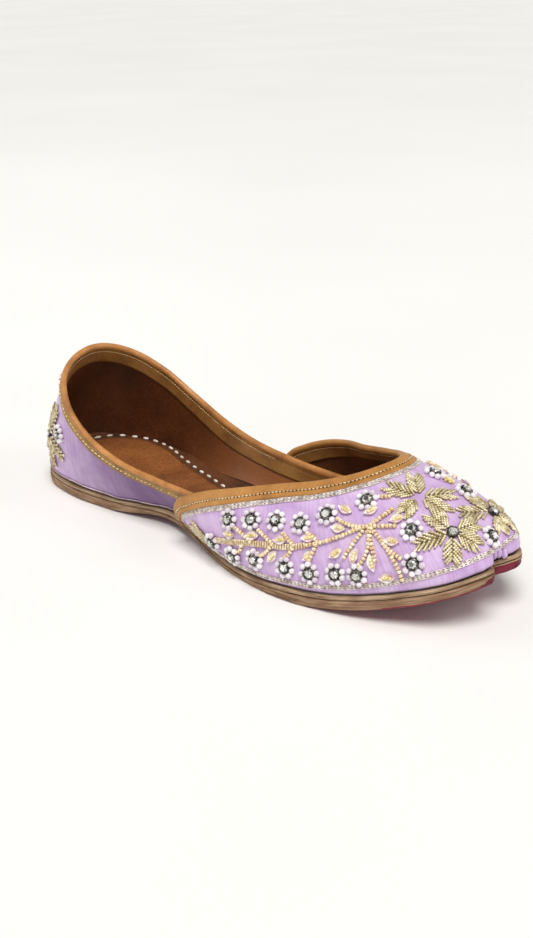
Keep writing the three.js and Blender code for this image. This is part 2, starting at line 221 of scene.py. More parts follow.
def smoothStep(t):
    s = np.clip(t, 0, 1)
    return s * s * (3 - 2 * s)


def outsoleThickness(x):
    s = lastShape
    pastHeel = smoothStep((x - s["waistStart"]) / s["waistRun"])
    beforeBall = 1 - smoothStep((x - s["ballStart"]) / s["ballRun"])
    return s["outsole"] + (s["waistOutsole"] - s["outsole"]) * (pastHeel * beforeBall)


def midsoleBase(x):
    return outsoleThickness(x) + lastShape["gap"]


def insoleBase(x):
    return midsoleBase(x) + lastShape["midsole"] + lastShape["gap"]


def featherHeight(x):
    return floorGap(x) + insoleBase(x)


def bothSides(rows, meetAtHeel):
    plain = np.array([[outlineHalf if v is None else v for v in row] for row in rows], float)
    flipped = plain.copy()
    flipped[:, [0, 3, 6, 9]] *= -1
    if meetAtHeel:
        return np.vstack([flipped[:0:-1], plain])
    flipped[:, 0] += outlineTotal
    return np.vstack([plain, flipped[-2::-1]])


surfaceTable = (601, 61)  # points along and up the table that heights are read from


# An upper piece as a surface: u runs along it from end to end, t from the sole to the top edge.
def upperSurface(rows, meetAtHeel, notch):
    ribs = bothSides(rows, meetAtHeel)
    places = placesAlong(ribs[:, 2:5])
    curve = smoothCurve(ribs, places)

    def point(u, t):
        u, t = np.broadcast_arrays(np.asarray(u, float), np.asarray(t, float))
        r = curve(u * places[-1])
        fx, fy = outlinePoint(r[..., 0], r[..., 1], notch)
        gx, gy = outlinePoint(r[..., 0], r[..., 1])
        foot = np.stack([fx, fy, featherHeight(fx)], -1)
        low = np.stack([gx, gy, featherHeight(gx)], -1) + r[..., 5:8]
        top = r[..., 2:5]
        high = top + r[..., 8:11]
        t = t[..., None]
        return (1 - t)**3 * foot + 3 * (1 - t)**2 * t * low + 3 * (1 - t) * t * t * high + t**3 * top

    def outward(u, t):
        along = point(np.minimum(1, u + 0.003), t) - point(np.maximum(0, u - 0.003), t)
        up = point(u, np.minimum(1, t + 0.01)) - point(u, np.maximum(0, t - 0.01))
        return unit(np.cross(up, along))

    countU, countT = surfaceTable
    tableU, tableT = np.linspace(0, 1, countU), np.linspace(0, 1, countT)
    table = point(tableU[:, None], tableT[None, :])
    climbs = np.cumsum(np.linalg.norm(np.diff(table, axis=1), axis=2), axis=1)
    heights = np.concatenate([np.zeros((countU, 1)), climbs], 1)
    feet = curve(tableU * places[-1])[:, 0]

    # The (u, t) of a place given by its foot's distance round the outline and its height up the rib.
    def locate(foot, height):
        u = np.interp(foot, feet, tableU)
        row = u * (countU - 1)
        low = min(int(row), countU - 2)
        rib = heights[low] * (low + 1 - row) + heights[low + 1] * (row - low)
        return u, float(np.interp(height, rib, tableT))

    return SimpleNamespace(
        point=point,
        outward=outward,
        locate=locate,
        feet=lambda u: np.interp(u, tableU, feet),
        ribLength=lambda u: np.interp(u, tableU, heights[:, -1]),
        heightAt=lambda u, t: heightLookup(heights, u, t),
    )


def heightLookup(heights, u, t):
    i, j = np.asarray(u) * (heights.shape[0] - 1), np.asarray(t) * (heights.shape[1] - 1)
    i0, j0 = np.clip(i.astype(int), 0, heights.shape[0] - 2), np.clip(j.astype(int), 0, heights.shape[1] - 2)
    fi, fj = i - i0, j - j0
    return ((heights[i0, j0] * (1 - fj) + heights[i0, j0 + 1] * fj) * (1 - fi)
            + (heights[i0 + 1, j0] * (1 - fj) + heights[i0 + 1, j0 + 1] * fj) * fi)


quarterSurface = upperSurface(quarterRows, True, False)
vampSurface = upperSurface(vampRows, False, True)


# Smooth unevenness: waves in random directions, about 1 high at most.
def unevenness(points, wavelength, seed):
    rng = np.random.default_rng(seed)
    points = np.asarray(points, float)
    total = np.zeros(points.shape[:-1])
    for _ in range(9):
        direction = unit(rng.normal(size=points.shape[-1]))
        k = direction * 2 * math.pi / (wavelength * rng.uniform(0.7, 1.6))
        total += np.sin(points @ k + rng.uniform(0, 6.28))
    return total / 4.5


def linear(hexColour):
    values = [int(hexColour[i:i + 2], 16) / 255 for i in (1, 3, 5)]
    return [v / 12.92 if v <= 0.04045 else ((v + 0.055) / 1.055) ** 2.4 for v in values] + [1.0]


def setInput(socket, value):
    socket.default_value = linear(value) if isinstance(value, str) else value


def addNode(tree, kind, inputs=None, links=None, ramp=None, **settings):
    node = tree.nodes.new(kind)
    for name, value in settings.items():
        setattr(node, name, value)
    for socket, value in (inputs or {}).items():
        setInput(node.inputs[socket], value)
    for socket, source in (links or {}).items():
        tree.links.new(source, node.inputs[socket])
    if ramp:
        stops = node.color_ramp.elements
        while len(stops) < len(ramp):
            stops.new(0.5)
        for stop, (place, colour) in zip(stops, ramp):
            stop.position = place
            stop.color = linear(colour)
    return node


def startMaterial(name, inputs):
    material = bpy.data.materials.new(name)
    material.use_nodes = True
    shader = material.node_tree.nodes["Principled BSDF"]
    for socket, value in inputs.items():
        setInput(shader.inputs[socket], value)
    return material, material.node_tree, shader


# Silk dupion, plain woven: a soft sheen, fine up-and-down slubs and slightly uneven dye.
silkLook = {
    "light": "#DDC4E5", "main": "#CCAED9", "shade": "#BA96C9",
    "waist": "#5A2E68",  # painted shade on the quarter's silk, darker toward the waist
    "edge": "#3A2A30",  # painted shade where the silk turns under at the sole
    "threadSpacing": 0.55,  # real 0.2 mm, drawn coarser so that it shows
    "slubSpacing": 0.9, "slubLength": 16.0,
}


def makeSilk():
    material, tree, shader = startMaterial("silkDupionWoven", {
        "Roughness": 0.5, "Sheen Weight": 0.35, "Sheen Roughness": 0.35, "Sheen Tint": "#F3E6FF",
    })
    across = 100 / silkLook["slubSpacing"]
    along = 100 / silkLook["slubLength"]
    place = addNode(tree, "ShaderNodeTexCoord").outputs["UV"]
    streakPlace = addNode(tree, "ShaderNodeMapping", {"Scale": (across, along, 1)}, {"Vector": place})
    streaks = addNode(tree, "ShaderNodeTexNoise", {"Scale": 1.0, "Detail": 3.0, "Roughness": 0.6},
                      {"Vector": streakPlace.outputs[0]})
    clouds = addNode(tree, "ShaderNodeTexNoise", {"Scale": 7.0, "Detail": 3.0, "Roughness": 0.55},
                     {"Vector": place})
    blend = addNode(tree, "ShaderNodeMath", {1: 0.4}, {0: streaks.outputs[0]}, operation="MULTIPLY")
    spread = addNode(tree, "ShaderNodeMath", {1: 0.6}, {0: clouds.outputs[0], 2: blend.outputs[0]},
                     operation="MULTIPLY_ADD")
    colour = addNode(tree, "ShaderNodeValToRGB", links={0: spread.outputs[0]},
                     ramp=[(0.36, silkLook["shade"]), (0.5, silkLook["main"]), (0.64, silkLook["light"])])
    upward = addNode(tree, "ShaderNodeSeparateXYZ", links={0: place})
    reach = addNode(tree, "ShaderNodeMath", links={0: upward.outputs[0]}, operation="ABSOLUTE")
    # painted shade: the quarter's silk darkens toward the waist, where shade falls
    waistShadeRamp = addNode(tree, "ShaderNodeMapRange", {1: 0.38, 2: 0.98, 3: 0.0, 4: 0.85}, {0: reach.outputs[0]})
    onQuarter = addNode(tree, "ShaderNodeMath", {1: 1.23}, {0: reach.outputs[0]}, operation="LESS_THAN")
    waistShadeShare = addNode(tree, "ShaderNodeMath", links={0: waistShadeRamp.outputs[0], 1: onQuarter.outputs[0]},
                   operation="MULTIPLY")
    waistShaded = addNode(tree, "ShaderNodeMix", {7: silkLook["waist"]},
                     {0: waistShadeShare.outputs[0], 6: colour.outputs[0]}, data_type="RGBA")
    # painted shade: the silk is darker below about 1.2 mm up from the sole, where it turns under
    footShade = addNode(tree, "ShaderNodeMapRange", {1: 0.004, 2: 0.012, 3: 0.8, 4: 0.0}, {0: upward.outputs[1]})
    tint = addNode(tree, "ShaderNodeMix", {7: silkLook["edge"]}, {0: footShade.outputs[0], 6: waistShaded.outputs[2]},
                   data_type="RGBA")
    tree.links.new(tint.outputs[2], shader.inputs["Base Color"])
    threads = 100 / silkLook["threadSpacing"] / 20
    warp = addNode(tree, "ShaderNodeTexWave", {"Scale": threads, "Distortion": 0.6, "Detail": 1.0},
                   {"Vector": place}, bands_direction="X")
    weft = addNode(tree, "ShaderNodeTexWave", {"Scale": threads, "Distortion": 0.6, "Detail": 1.0},
                   {"Vector": place}, bands_direction="Y")
    weave = addNode(tree, "ShaderNodeMath", links={0: warp.outputs[1], 1: weft.outputs[1]}, operation="ADD")
    relief = addNode(tree, "ShaderNodeMath", {1: 0.9}, {0: streaks.outputs[0], 2: weave.outputs[0]},
                     operation="MULTIPLY_ADD")
    bump = addNode(tree, "ShaderNodeBump", {"Strength": 0.5, "Distance": 0.00008},
                   {"Height": relief.outputs[0]})
    tree.links.new(bump.outputs[0], shader.inputs["Normal"])
    return material


# Vegetable-tanned leather: a fine pebbled grain and cloudy dye, and, where asked, painted light that makes it
# paler toward one end.
def makeLeather(name, look):
    material, tree, shader = startMaterial(name, {"Roughness": look["roughness"], "Specular IOR Level": 0.45})
    place = addNode(tree, "ShaderNodeTexCoord").outputs["Object"]
    clouds = addNode(tree, "ShaderNodeTexNoise",
                     {"Scale": 1000 / look["cloudSize"], "Detail": 4.0, "Roughness": 0.6}, {"Vector": place})
    grain = addNode(tree, "ShaderNodeTexVoronoi", {"Scale": 1000 / look["grainSize"], "Randomness": 1.0},
                    {"Vector": place}, feature="F1", distance="EUCLIDEAN")
    fine = addNode(tree, "ShaderNodeTexNoise", {"Scale": 1000 / look["grainSize"] * 0.6, "Detail": 2.0},
                   {"Vector": place})
    colour = addNode(tree, "ShaderNodeValToRGB", links={0: clouds.outputs[0]},
                     ramp=[(0.3, look["shade"]), (0.5, look["main"]), (0.7, look["light"])])
    pores = addNode(tree, "ShaderNodeMapRange", {1: 0.25, 2: 0.75, 3: 0.0, 4: look["poreDepth"]},
                    {0: grain.outputs["Distance"]})
    tint = addNode(tree, "ShaderNodeMix", {7: look["shade"]}, {0: pores.outputs[0], 6: colour.outputs[0]},
                   data_type="RGBA")
    # painted light: paler along the shoe between two places, standing in for light falling there
    if "pale" in look:
        along = addNode(tree, "ShaderNodeSeparateXYZ", links={0: place})
        share = addNode(tree, "ShaderNodeMapRange", {1: look["paleFrom"], 2: look["paleTo"], 3: 0.0, 4: 0.75},
                        {0: along.outputs[0]})
        tint = addNode(tree, "ShaderNodeMix", {7: look["pale"]}, {0: share.outputs[0], 6: tint.outputs[2]},
                       data_type="RGBA")
    tree.links.new(tint.outputs[2], shader.inputs["Base Color"])
    height = addNode(tree, "ShaderNodeMath", {1: -1.0}, {0: grain.outputs["Distance"], 2: fine.outputs[0]},
                     operation="MULTIPLY_ADD")
    bump = addNode(tree, "ShaderNodeBump", {"Strength": look["relief"], "Distance": 0.0001},
                   {"Height": height.outputs[0]})
    tree.links.new(bump.outputs[0], shader.inputs["Normal"])
    return material


# Cut edges of hide: fibres run round the edge in thin uneven layers, dry and matt.
def makeFibreEdge(name, look):
    material, tree, shader = startMaterial(name, {"Roughness": 0.85, "Specular IOR Level": 0.25})
    place = addNode(tree, "ShaderNodeTexCoord").outputs["UV"]
    fibreScale = (100 / look["fibreLength"], 100 / look["layer"], 1)
    fibrePlace = addNode(tree, "ShaderNodeMapping", {"Scale": fibreScale}, {"Vector": place})
    fibres = addNode(tree, "ShaderNodeTexNoise",
                     {"Scale": 1.0, "Detail": 5.0, "Roughness": 0.65, "Distortion": 0.4},
                     {"Vector": fibrePlace.outputs[0]})
    patches = addNode(tree, "ShaderNodeTexNoise", {"Scale": 9.0, "Detail": 3.0}, {"Vector": place})
    colour = addNode(tree, "ShaderNodeValToRGB", links={0: fibres.outputs[0]},
                     ramp=[(0.3, look["dark"]), (0.46, look["main"]), (0.66, look["light"])])
    stain = addNode(tree, "ShaderNodeMapRange", {1: 0.45, 2: 0.72, 3: 0.0, 4: 0.6}, {0: patches.outputs[0]})
    tint = addNode(tree, "ShaderNodeMix", {7: look["stain"]}, {0: stain.outputs[0], 6: colour.outputs[0]},
                   data_type="RGBA")
    tree.links.new(tint.outputs[2], shader.inputs["Base Color"])
    bump = addNode(tree, "ShaderNodeBump", {"Strength": 0.8, "Distance": 0.0002},
                   {"Height": fibres.outputs[0]})
    tree.links.new(bump.outputs[0], shader.inputs["Normal"])
    return material


# Thread, bead, wire or film: colours from dark to light, in patches of a size in millimetres.
def makeTrim(name, colours, patch, inputs):
    material, tree, shader = startMaterial(name, inputs)
    place = addNode(tree, "ShaderNodeTexCoord").outputs["Object"]
    spots = addNode(tree, "ShaderNodeTexNoise", {"Scale": 1000 / patch, "Detail": 2.0}, {"Vector": place})
    colour = addNode(tree, "ShaderNodeValToRGB", links={0: spots.outputs[0]},
                     ramp=list(zip((0.35, 0.5, 0.65), colours)))
    tree.links.new(colour.outputs[0], shader.inputs["Base Color"])
    return material


silk = makeSilk()
tanLeather = makeLeather("goatLeatherTanned", {
    "main": "#B8803F", "light": "#C9924F", "shade": "#8E5E2A", "roughness": 0.5,
    "cloudSize": 16.0, "grainSize": 0.8, "poreDepth": 0.35, "relief": 0.45,
})
rolledLeather = makeLeather("goatLeatherRolled", {
    "main": "#C08348", "light": "#D69A5E", "shade": "#925C2C", "roughness": 0.42,
    "cloudSize": 14.0, "grainSize": 0.8, "poreDepth": 0.3, "relief": 0.4,
})
bandLeather = makeLeather("goatLeatherBand", {
    "main": "#A87F42", "light": "#BC9352", "shade": "#80602C", "roughness": 0.55,
    "cloudSize": 9.0, "grainSize": 0.8, "poreDepth": 0.4, "relief": 0.5,
})
# painted shade: the binding's inner leaf is the same leather as its outside, coloured darker for the shade
# inside the shoe
shadedFacingLeather = makeLeather("goatLeatherFacingShaded", {
    "main": "#8A5C2A", "light": "#9E7038", "shade": "#643E1A", "roughness": 0.5,
    "cloudSize": 16.0, "grainSize": 0.8, "poreDepth": 0.35, "relief": 0.45,
})
liningLook = {
    "main": "#5A2D13", "light": "#70401E", "shade": "#381A0A", "roughness": 0.5,
    "cloudSize": 30.0, "grainSize": 1.1, "poreDepth": 0.5, "relief": 0.6,
}
liningLeather = makeLeather("sheepLeatherLining", liningLook)
# The quarter's lining has painted light: paler toward the waist, between two places in metres along the shoe.
quarterLeather = makeLeather("sheepLeatherQuarter", {
    **liningLook, "roughness": 0.45, "pale": "#A9693A", "paleFrom": -0.075, "paleTo": 0.0,
})
insoleLeather = makeLeather("sheepLeatherInsole", {
    "main": "#92582C", "light": "#A96A36", "shade": "#5C3016", "roughness": 0.5,
    "cloudSize": 34.0, "grainSize": 1.1, "poreDepth": 0.5, "relief": 0.7,
})
recessLeather = makeLeather("sheepLeatherRecess", {
    "main": "#613518", "light": "#73421F", "shade": "#3E200D", "roughness": 0.6,
    "cloudSize": 12.0, "grainSize": 0.9, "poreDepth": 0.4, "relief": 0.6,
})
soleEdge = makeFibreEdge("hideEdgeCut", {
    "main": "#937258", "light": "#B89C80", "dark": "#66503E", "stain": "#7C5A44",
    "fibreLength": 14.0, "layer": 0.9,
})
randEdge = makeFibreEdge("hideEdgeRand", {
    "main": "#A08468", "light": "#CDB598", "dark": "#5E4834", "stain": "#7A5A42",
    "fibreLength": 20.0, "layer": 0.7,
})
redLeather = makeLeather("hideDyedRed", {
    "main": "#8E1C3A", "light": "#A53050", "shade": "#5E1024", "roughness": 0.6,
    "cloudSize": 22.0, "grainSize": 1.4, "poreDepth": 0.5, "relief": 0.5,
})
# Cotton is matt and soft. The gold one is mercerised, with a little gloss.
cottonThread = makeTrim("cottonThreadWaxed", ("#CDBBA8", "#E8DCD0", "#F4EBE2"), 4.0, {"Roughness": 0.7})
bindingThread = makeTrim("cottonThreadGold", ("#BC9C68", "#DCC294", "#EBD8B0"), 3.0, {"Roughness": 0.6})
footThread = makeTrim("cottonCordLilac", ("#AE98A8", "#CDB7C2", "#DCCAD0"), 5.0, {"Roughness": 0.75})
# Painted shade: the padding and the punched holes are coloured dark, to show as shaded gaps between brighter
# things.
paddingThread = makeTrim("cottonPaddingShadeDark", ("#54452C", "#6E5C3C", "#85714C"), 2.0, {"Roughness": 0.85})
needleHoleShade = makeTrim("leatherHolePunchedShade", ("#1A0E06", "#2A180C", "#3A2414"), 3.0, {"Roughness": 0.9})
# Wound and coiled metal glints softly in rows, and oxidised brass is dark with bright edges.
zariThread = makeTrim("zariThreadWound", ("#B4A398", "#DDD1C8", "#F3EBE2"), 1.6,
                      {"Metallic": 0.2, "Roughness": 0.42})
goldWire = makeTrim("dabkaWireCoiled", ("#AE9D74", "#D6C8A2", "#EDE2C6"), 3.0,
                    {"Metallic": 0.4, "Roughness": 0.34})
settingMetal = makeTrim("brassSettingOxidised", ("#2E2C28", "#625F58", "#9A948A"), 1.5,
                        {"Metallic": 1.0, "Roughness": 0.35})
# Glass has one sharp highlight each, softer on the coated pearls.
pearlGlass = makeTrim("glassPearlCoated", ("#D0C3CE", "#E7DFE6", "#F7F2F6"), 5.0,
                      {"Roughness": 0.18, "Coat Weight": 0.6, "Coat Roughness": 0.08})
seedGlass = makeTrim("glassSeedBeadLined", ("#CFA878", "#E9CFA2", "#FBF0DA"), 1.5,
                     {"Roughness": 0.2, "Coat Weight": 1.0, "Coat Roughness": 0.04})
yellowGlass = makeTrim("glassSeedBeadYellow", ("#CDB15C", "#E9D68C", "#F8EFBE"), 2.0,
                       {"Roughness": 0.15, "Coat Weight": 1.0, "Coat Roughness": 0.04})
# Pearled film is pale, with faint rainbow tints.
sequinFilm = makeTrim("sequinFilmPearled", ("#EDC4D6", "#F3E2E2", "#FFFAF6"), 2.2,
                      {"Roughness": 0.15, "Coat Weight": 1.0, "Coat Roughness": 0.03,
                       "Thin Film Thickness": 420.0, "Thin Film IOR": 1.6})


# Cut glass with a foil back: painted reflections, each facet given its own grey from nearly black to white.
def makeStone():
    material, tree, shader = startMaterial("crystalFoilCut", {
        "Roughness": 0.06, "Coat Weight": 1.0, "Coat Roughness": 0.02, "Metallic": 0.35,
    })
    facing = addNode(tree, "ShaderNodeNewGeometry").outputs["True Normal"]
    facetReflection = addNode(tree, "ShaderNodeTexNoise", {"Scale": 4.2, "Detail": 1.0}, {"Vector": facing})
    colour = addNode(tree, "ShaderNodeValToRGB", links={0: facetReflection.outputs[0]},
                     ramp=[(0.36, "#3C3C3A"), (0.47, "#BDBBB2"), (0.57, "#FFFFFF")])
    tree.links.new(colour.outputs[0], shader.inputs["Base Color"])
    return material


stoneGlass = makeStone()
print("materials made")


# Makes a piece from points in millimetres and arrays of faces, each array with its own number of corners.
# More materials come as (list of materials, each face's material number).
def addPiece(name, points, faceSets, material, slot, replaced=None, flatUv=None, smooth=True, more=None):
    faceSets = [faces for faces in faceSets if len(faces)]
    corners = np.concatenate([faces.ravel() for faces in faceSets]).astype(np.int32)
    totals = np.concatenate([np.full(len(faces), faces.shape[1]) for faces in faceSets])
    starts = np.concatenate([[0], np.cumsum(totals)[:-1]]).astype(np.int32)
    mesh = bpy.data.meshes.new(name)
    mesh.vertices.add(len(points))
    mesh.loops.add(len(corners))
    mesh.polygons.add(len(totals))
    moved = (np.asarray(points) - (lastShape["originShift"], 0, 0)) * 0.001
    mesh.vertices.foreach_set("co", moved.astype(np.float32).ravel())
    mesh.loops.foreach_set("vertex_index", corners)
    mesh.polygons.foreach_set("loop_start", starts)
    mesh.polygons.foreach_set("use_smooth", np.full(len(totals), smooth))
    mesh.materials.append(material)
    if more:
        for extra in more[0]:
            mesh.materials.append(extra)
        mesh.polygons.foreach_set("material_index", more[1].astype(np.int32))
    mesh.update(calc_edges=True)
    mesh.validate()
    if flatUv is not None:
        layer = mesh.uv_layers.new(name="lay")
        layer.uv.foreach_set("vector", (flatUv[corners] * 0.01).astype(np.float32).ravel())
    piece = bpy.data.objects.new(name, mesh)
    bpy.context.scene.collection.objects.link(piece)
    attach(piece, "root")
    if replaced:
        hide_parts(replaced)
    return piece


def gridFaces(rows, columns, start=0, flip=False):
    corner = (np.arange(rows - 1)[:, None] * columns + np.arange(columns - 1)[None, :]).ravel() + start
    faces = np.stack([corner, corner + columns, corner + columns + 1, corner + 1], 1)
    return faces[:, ::-1] if flip else faces


# A sheet with thickness: an outer and an inner grid of points, closed round the rim.
def closedSheet(outer, inner):
    rows, columns = outer.shape[:2]
    count = rows * columns
    index = np.arange(count).reshape(rows, columns)
    rim = np.concatenate([index[:, 0], index[-1, 1:], index[-2::-1, -1], index[0, -2:0:-1]])
    ahead = np.roll(rim, -1)
    sides = np.stack([rim, rim + count, ahead + count, ahead], 1)
    points = np.concatenate([outer.reshape(-1, 3), inner.reshape(-1, 3)])
    return points, [gridFaces(rows, columns), gridFaces(rows, columns, count, True), sides[:, ::-1]]


def nearSegment(foot, height, start, end):
    start, end = np.array(start, float), np.array(end, float)
    run = end - start
    t = np.clip(((foot - start[0]) * run[0] + (height - start[1]) * run[1]) / (run @ run), 0, 1)
    across = np.hypot(foot - start[0] - t * run[0], height - start[1] - t * run[1])
    return across, t


# Soft folds of the vamp's silk: distance from the toe's middle and height at each end, depth, half width.
# A negative depth is a ridge.
vampFolds = [
    ((3.5, 0), (6, 13), 0.9, 1.9), ((0, 0), (0, 10), -0.9, 1.8), ((9, 0), (16, 12), 0.5, 2.2),
    ((16, 0), (30, 7), 0.3, 2.2), ((120, 22), (135, 8), 0.35, 4.0), ((95, 34), (104, 22), 0.3, 5.0),
    ((128, 30), (146, 14), 0.3, 3.5), ((150, 20), (160, 6), 0.4, 3.0),
]
# The same for the quarter: distance from the heel's rear and height.
quarterFolds = [
    ((30, 3), (33, 22), 0.25, 4.0), ((52, 2), (50, 20), 0.3, 5.0), ((74, 2), (69, 17), 0.35, 5.0),
    ((92, 2), (84, 14), 0.4, 4.5), ((106, 2), (101, 12), 0.35, 4.0), ((118, 2), (112, 10), 0.35, 4.0),
]


def silkRelief(foot, height, folds):
    relief = 0.16 * unevenness(np.stack([foot, height], -1), 17, 3)
    relief += 0.09 * unevenness(np.stack([foot, height * 0.4], -1), 5.5, 5) * np.clip(1 - height / 9, 0, 1)
    for start, end, depth, half in folds:
        across, t = nearSegment(foot, height, start, end)
        relief -= depth * np.exp(-(across / half) ** 2) * (0.35 + 0.65 * np.sin(np.pi * (0.2 + 0.6 * t)))
    relief -= 0.8 * np.clip(1 - height / 2.0, 0, 1) ** 1.5
    return relief


# The wall is pared thinner toward the top edge, where it goes into the binding.
def wallAt(depth):
    return lastShape["rimWall"] + (lastShape["wall"] - lastShape["rimWall"]) * smoothStep((depth - 2) / 9)


# Points that divide each piece of the upper, along it and up from the sole.
upperSteps = {"vamp": 521, "quarter": 481, "up": 71}


def upperPieces(surface, label, folds, fromToe, lining):
    columns, rows = upperSteps[label], upperSteps["up"]
    u = np.linspace(0, 1, columns)[:, None]
    t = np.linspace(0, 1, rows)[None, :]
    u, t = np.broadcast_arrays(u, t)
    place, out = surface.point(u, t), surface.outward(u, t)
    foot, height = surface.feet(u), surface.heightAt(u, t)
    reach = np.abs(foot - outlineHalf) if fromToe else np.abs(foot)
    relief = silkRelief(reach, height, folds)
    edge = np.clip((surface.ribLength(u) - height) / 6, 0, 1) * np.clip(np.minimum(u, 1 - u) * 60, 0, 1)
    relief *= edge
    outer = place + out * relief[..., None]
    wall = wallAt(surface.ribLength(u) - height)
    silkBack = np.minimum(relief, 0) - 0.4 * wall
    middle = place + out * silkBack[..., None]
    backing = place + out * (silkBack - 0.05)[..., None]
    inner = place - out * wall[..., None]
    for layer in (middle, backing, inner):
        layer[..., 2] = np.maximum(layer[..., 2], featherHeight(layer[..., 0]))
    flat = np.stack([foot, height], -1).reshape(-1, 2)
    flat = np.concatenate([flat, flat])
    points, faces = closedSheet(outer, middle)
    addPiece(label + "Silk", points, faces, silk, "silk", label, flat)
    points, faces = closedSheet(backing[::2], inner[::2])
    addPiece(label + "Lining", points, faces, lining, "lining_leather", label)
    return BVHTree.FromPolygons([tuple(p) for p in outer.reshape(-1, 3)], gridFaces(columns, rows).tolist())


vampTree = upperPieces(vampSurface, "vamp", vampFolds, True, liningLeather)
quarterTree = upperPieces(quarterSurface, "quarter", quarterFolds, False, quarterLeather)
print("upper modelled")

vampTrim = {"outside": 6.0, "inside": 8.5, "thick": 0.7, "gap": 0.1, "stitchDown": 3.7, "stitchPitch": 1.6,
            "groove": 9.0, "seamDown": 2.9}
quarterTrim = {"outside": 5.9, "inside": 9.0, "thick": 0.7, "gap": 0.1, "stitchDown": 3.6, "stitchPitch": 2.2,
               "groove": 1.3, "seamDown": 3.2}
rimPoints = 601  # points that divide each binding round the rim
rimLength = 260  # of the rim, roughly, for the size of its puffs


# Leather folded over the top edge: the skin's path from the outer leaf's lower edge to the inner leaf's.
def trimSection(trim):
    thick, gap, outside, inside = trim["thick"], trim["gap"], trim["outside"], trim["inside"]
    face, rim = gap + thick, wallAt(0)
    half = rim / 2 + face
    path = [(outside, gap + 0.1), (outside + 0.1, gap + 0.35), (outside - 0.2, face - 0.1)]
    for k in range(1, 19):
        down = outside - 0.3 - (outside - 1.2) * k / 19
        crease = 0.2 * math.exp(-((down - trim["stitchDown"]) / 0.5) ** 2)
        crease += 0.42 * math.exp(-((down - trim["groove"]) / 0.28) ** 2)
        path.append((down, face - 0.05 - crease))
    for k in range(13):
        angle = math.pi * k / 12
        path.append((0.85 - 1.1 * half * math.sin(angle), -rim / 2 + half * math.cos(angle)))
    for k in range(1, 15):
        down = 0.9 + (inside - 1.2) * k / 15
        crease = 0.15 * math.exp(-((down - trim["seamDown"]) / 0.4) ** 2)
        path.append((down, -wallAt(down) - face + 0.05 + crease))
    wall = wallAt(inside)
    path += [(inside - 0.2, -wall - face + 0.1), (inside, -wall - gap - 0.3), (inside, -wall - gap - 0.05)]
    return np.array(path)


# Carries depths below the top edge and offsets onto a surface, round its rim.
def alongRim(surface, u, down, out):
    u, down, out = np.broadcast_arrays(np.asarray(u, float), down, out)
    length = surface.ribLength(u)
    depth = np.minimum(down, length * np.where(out > 0, 0.86, 0.5))
    t = np.full(u.shape, 0.5)
    for _ in range(7):  # Newton steps from height to t
        above, below = np.minimum(1, t + 0.01), np.maximum(0, t - 0.01)
        slope = (surface.heightAt(u, above) - surface.heightAt(u, below)) / (above - below)
        t = np.clip(t - (surface.heightAt(u, t) - length + np.maximum(0, depth)) / slope, 0, 1)
    lift = 0.25 * np.clip(1 - np.minimum(u, 1 - u) / 0.06, 0, 1) * np.sign(out)
    place = surface.point(u, t) + surface.outward(u, t) * (out + lift)[..., None]
    upward = unit(surface.point(u, np.ones_like(t)) - surface.point(u, np.full_like(t, 0.97)))
    place += upward * np.maximum(0, -depth)[..., None]
    place[..., 2] = np.maximum(place[..., 2], featherHeight(place[..., 0]))
    return place


def trimPiece(surface, name, trim, ends, materials, replaced):
    u = np.linspace(ends, 1 - ends, rimPoints)[:, None]
    path = trimSection(trim)
    down, out = path[:, 0], path[:, 1]
    puff = 0.09 * unevenness(np.stack([u[:, 0] * rimLength, np.zeros(rimPoints)], -1), 14, 8)
    skin = alongRim(surface, u, down[None] + 0.2 * puff[:, None], out[None])
    normal = unit(np.cross(np.gradient(skin, axis=1), np.gradient(skin, axis=0)))
    skin += normal * puff[:, None, None] * 0.5
    middle = -wallAt(0) / 2
    outer = out > middle
    backOut = out - np.where(np.abs(out - middle) > 0.3, 0.5, 0.0) * np.where(outer, 1, -1)
    outerBack = np.maximum(backOut, trim["gap"])
    innerBack = np.minimum(backOut, -wallAt(down) - trim["gap"])
    back = np.where(outer, outerBack, innerBack)
    lining = alongRim(surface, u, np.maximum(down, -0.3)[None], back[None])
    points, faces = closedSheet(skin, lining)
    # the inner leaf's faces take the darker leather with painted shade; the outer leaf below the groove takes
    # the band leather
    kind = np.where(outer & (down > trim["groove"]), 1, np.where(~outer & (down > 1.1), 2, 0))[:-1]
    numbers = np.concatenate([np.tile(kind, rimPoints - 1), np.zeros(len(faces[1]) + len(faces[2]))])
    addPiece(name, points, faces, materials[0], "binding_leather", replaced, more=(materials[1:], numbers))


trimPiece(vampSurface, "vampBinding", vampTrim, 0.018, [tanLeather, bandLeather, shadedFacingLeather],
          "vamp_binding")
trimPiece(quarterSurface, "quarterBinding", quarterTrim, 0.0, [rolledLeather, bandLeather, shadedFacingLeather],
          "quarter_binding")
print("bindings modelled")


# Rings of points round the outline, each with an inset and a height within the layer.
def soleRing(profile, base, thick, count):
    distance = outlineTotal * np.arange(count) / count
    rings = []
    for inset, height in profile:
        x, y = outlinePoint(distance, inset, True)
        rings.append(np.stack([x, y, floorGap(x) + base(x) + thick(x) * height], -1))
    return distance, np.array(rings)


# Closes a ring with smaller rings that shrink to the shoe's middle line.
def closeRing(ring, steps):
    spine = ring.copy()
    spine[:, 0] = np.clip(ring[:, 0], 24, 226)
    spine[:, 1] = 0
    rings = []
    for k in range(1, steps + 1):
        layer = spine + (ring - spine) * max(1 - k / steps, 0.004)
        layer[:, 2] = floorGap(layer[:, 0]) + (ring[:, 2] - floorGap(ring[:, 0]))
        rings.append(layer)
    return rings


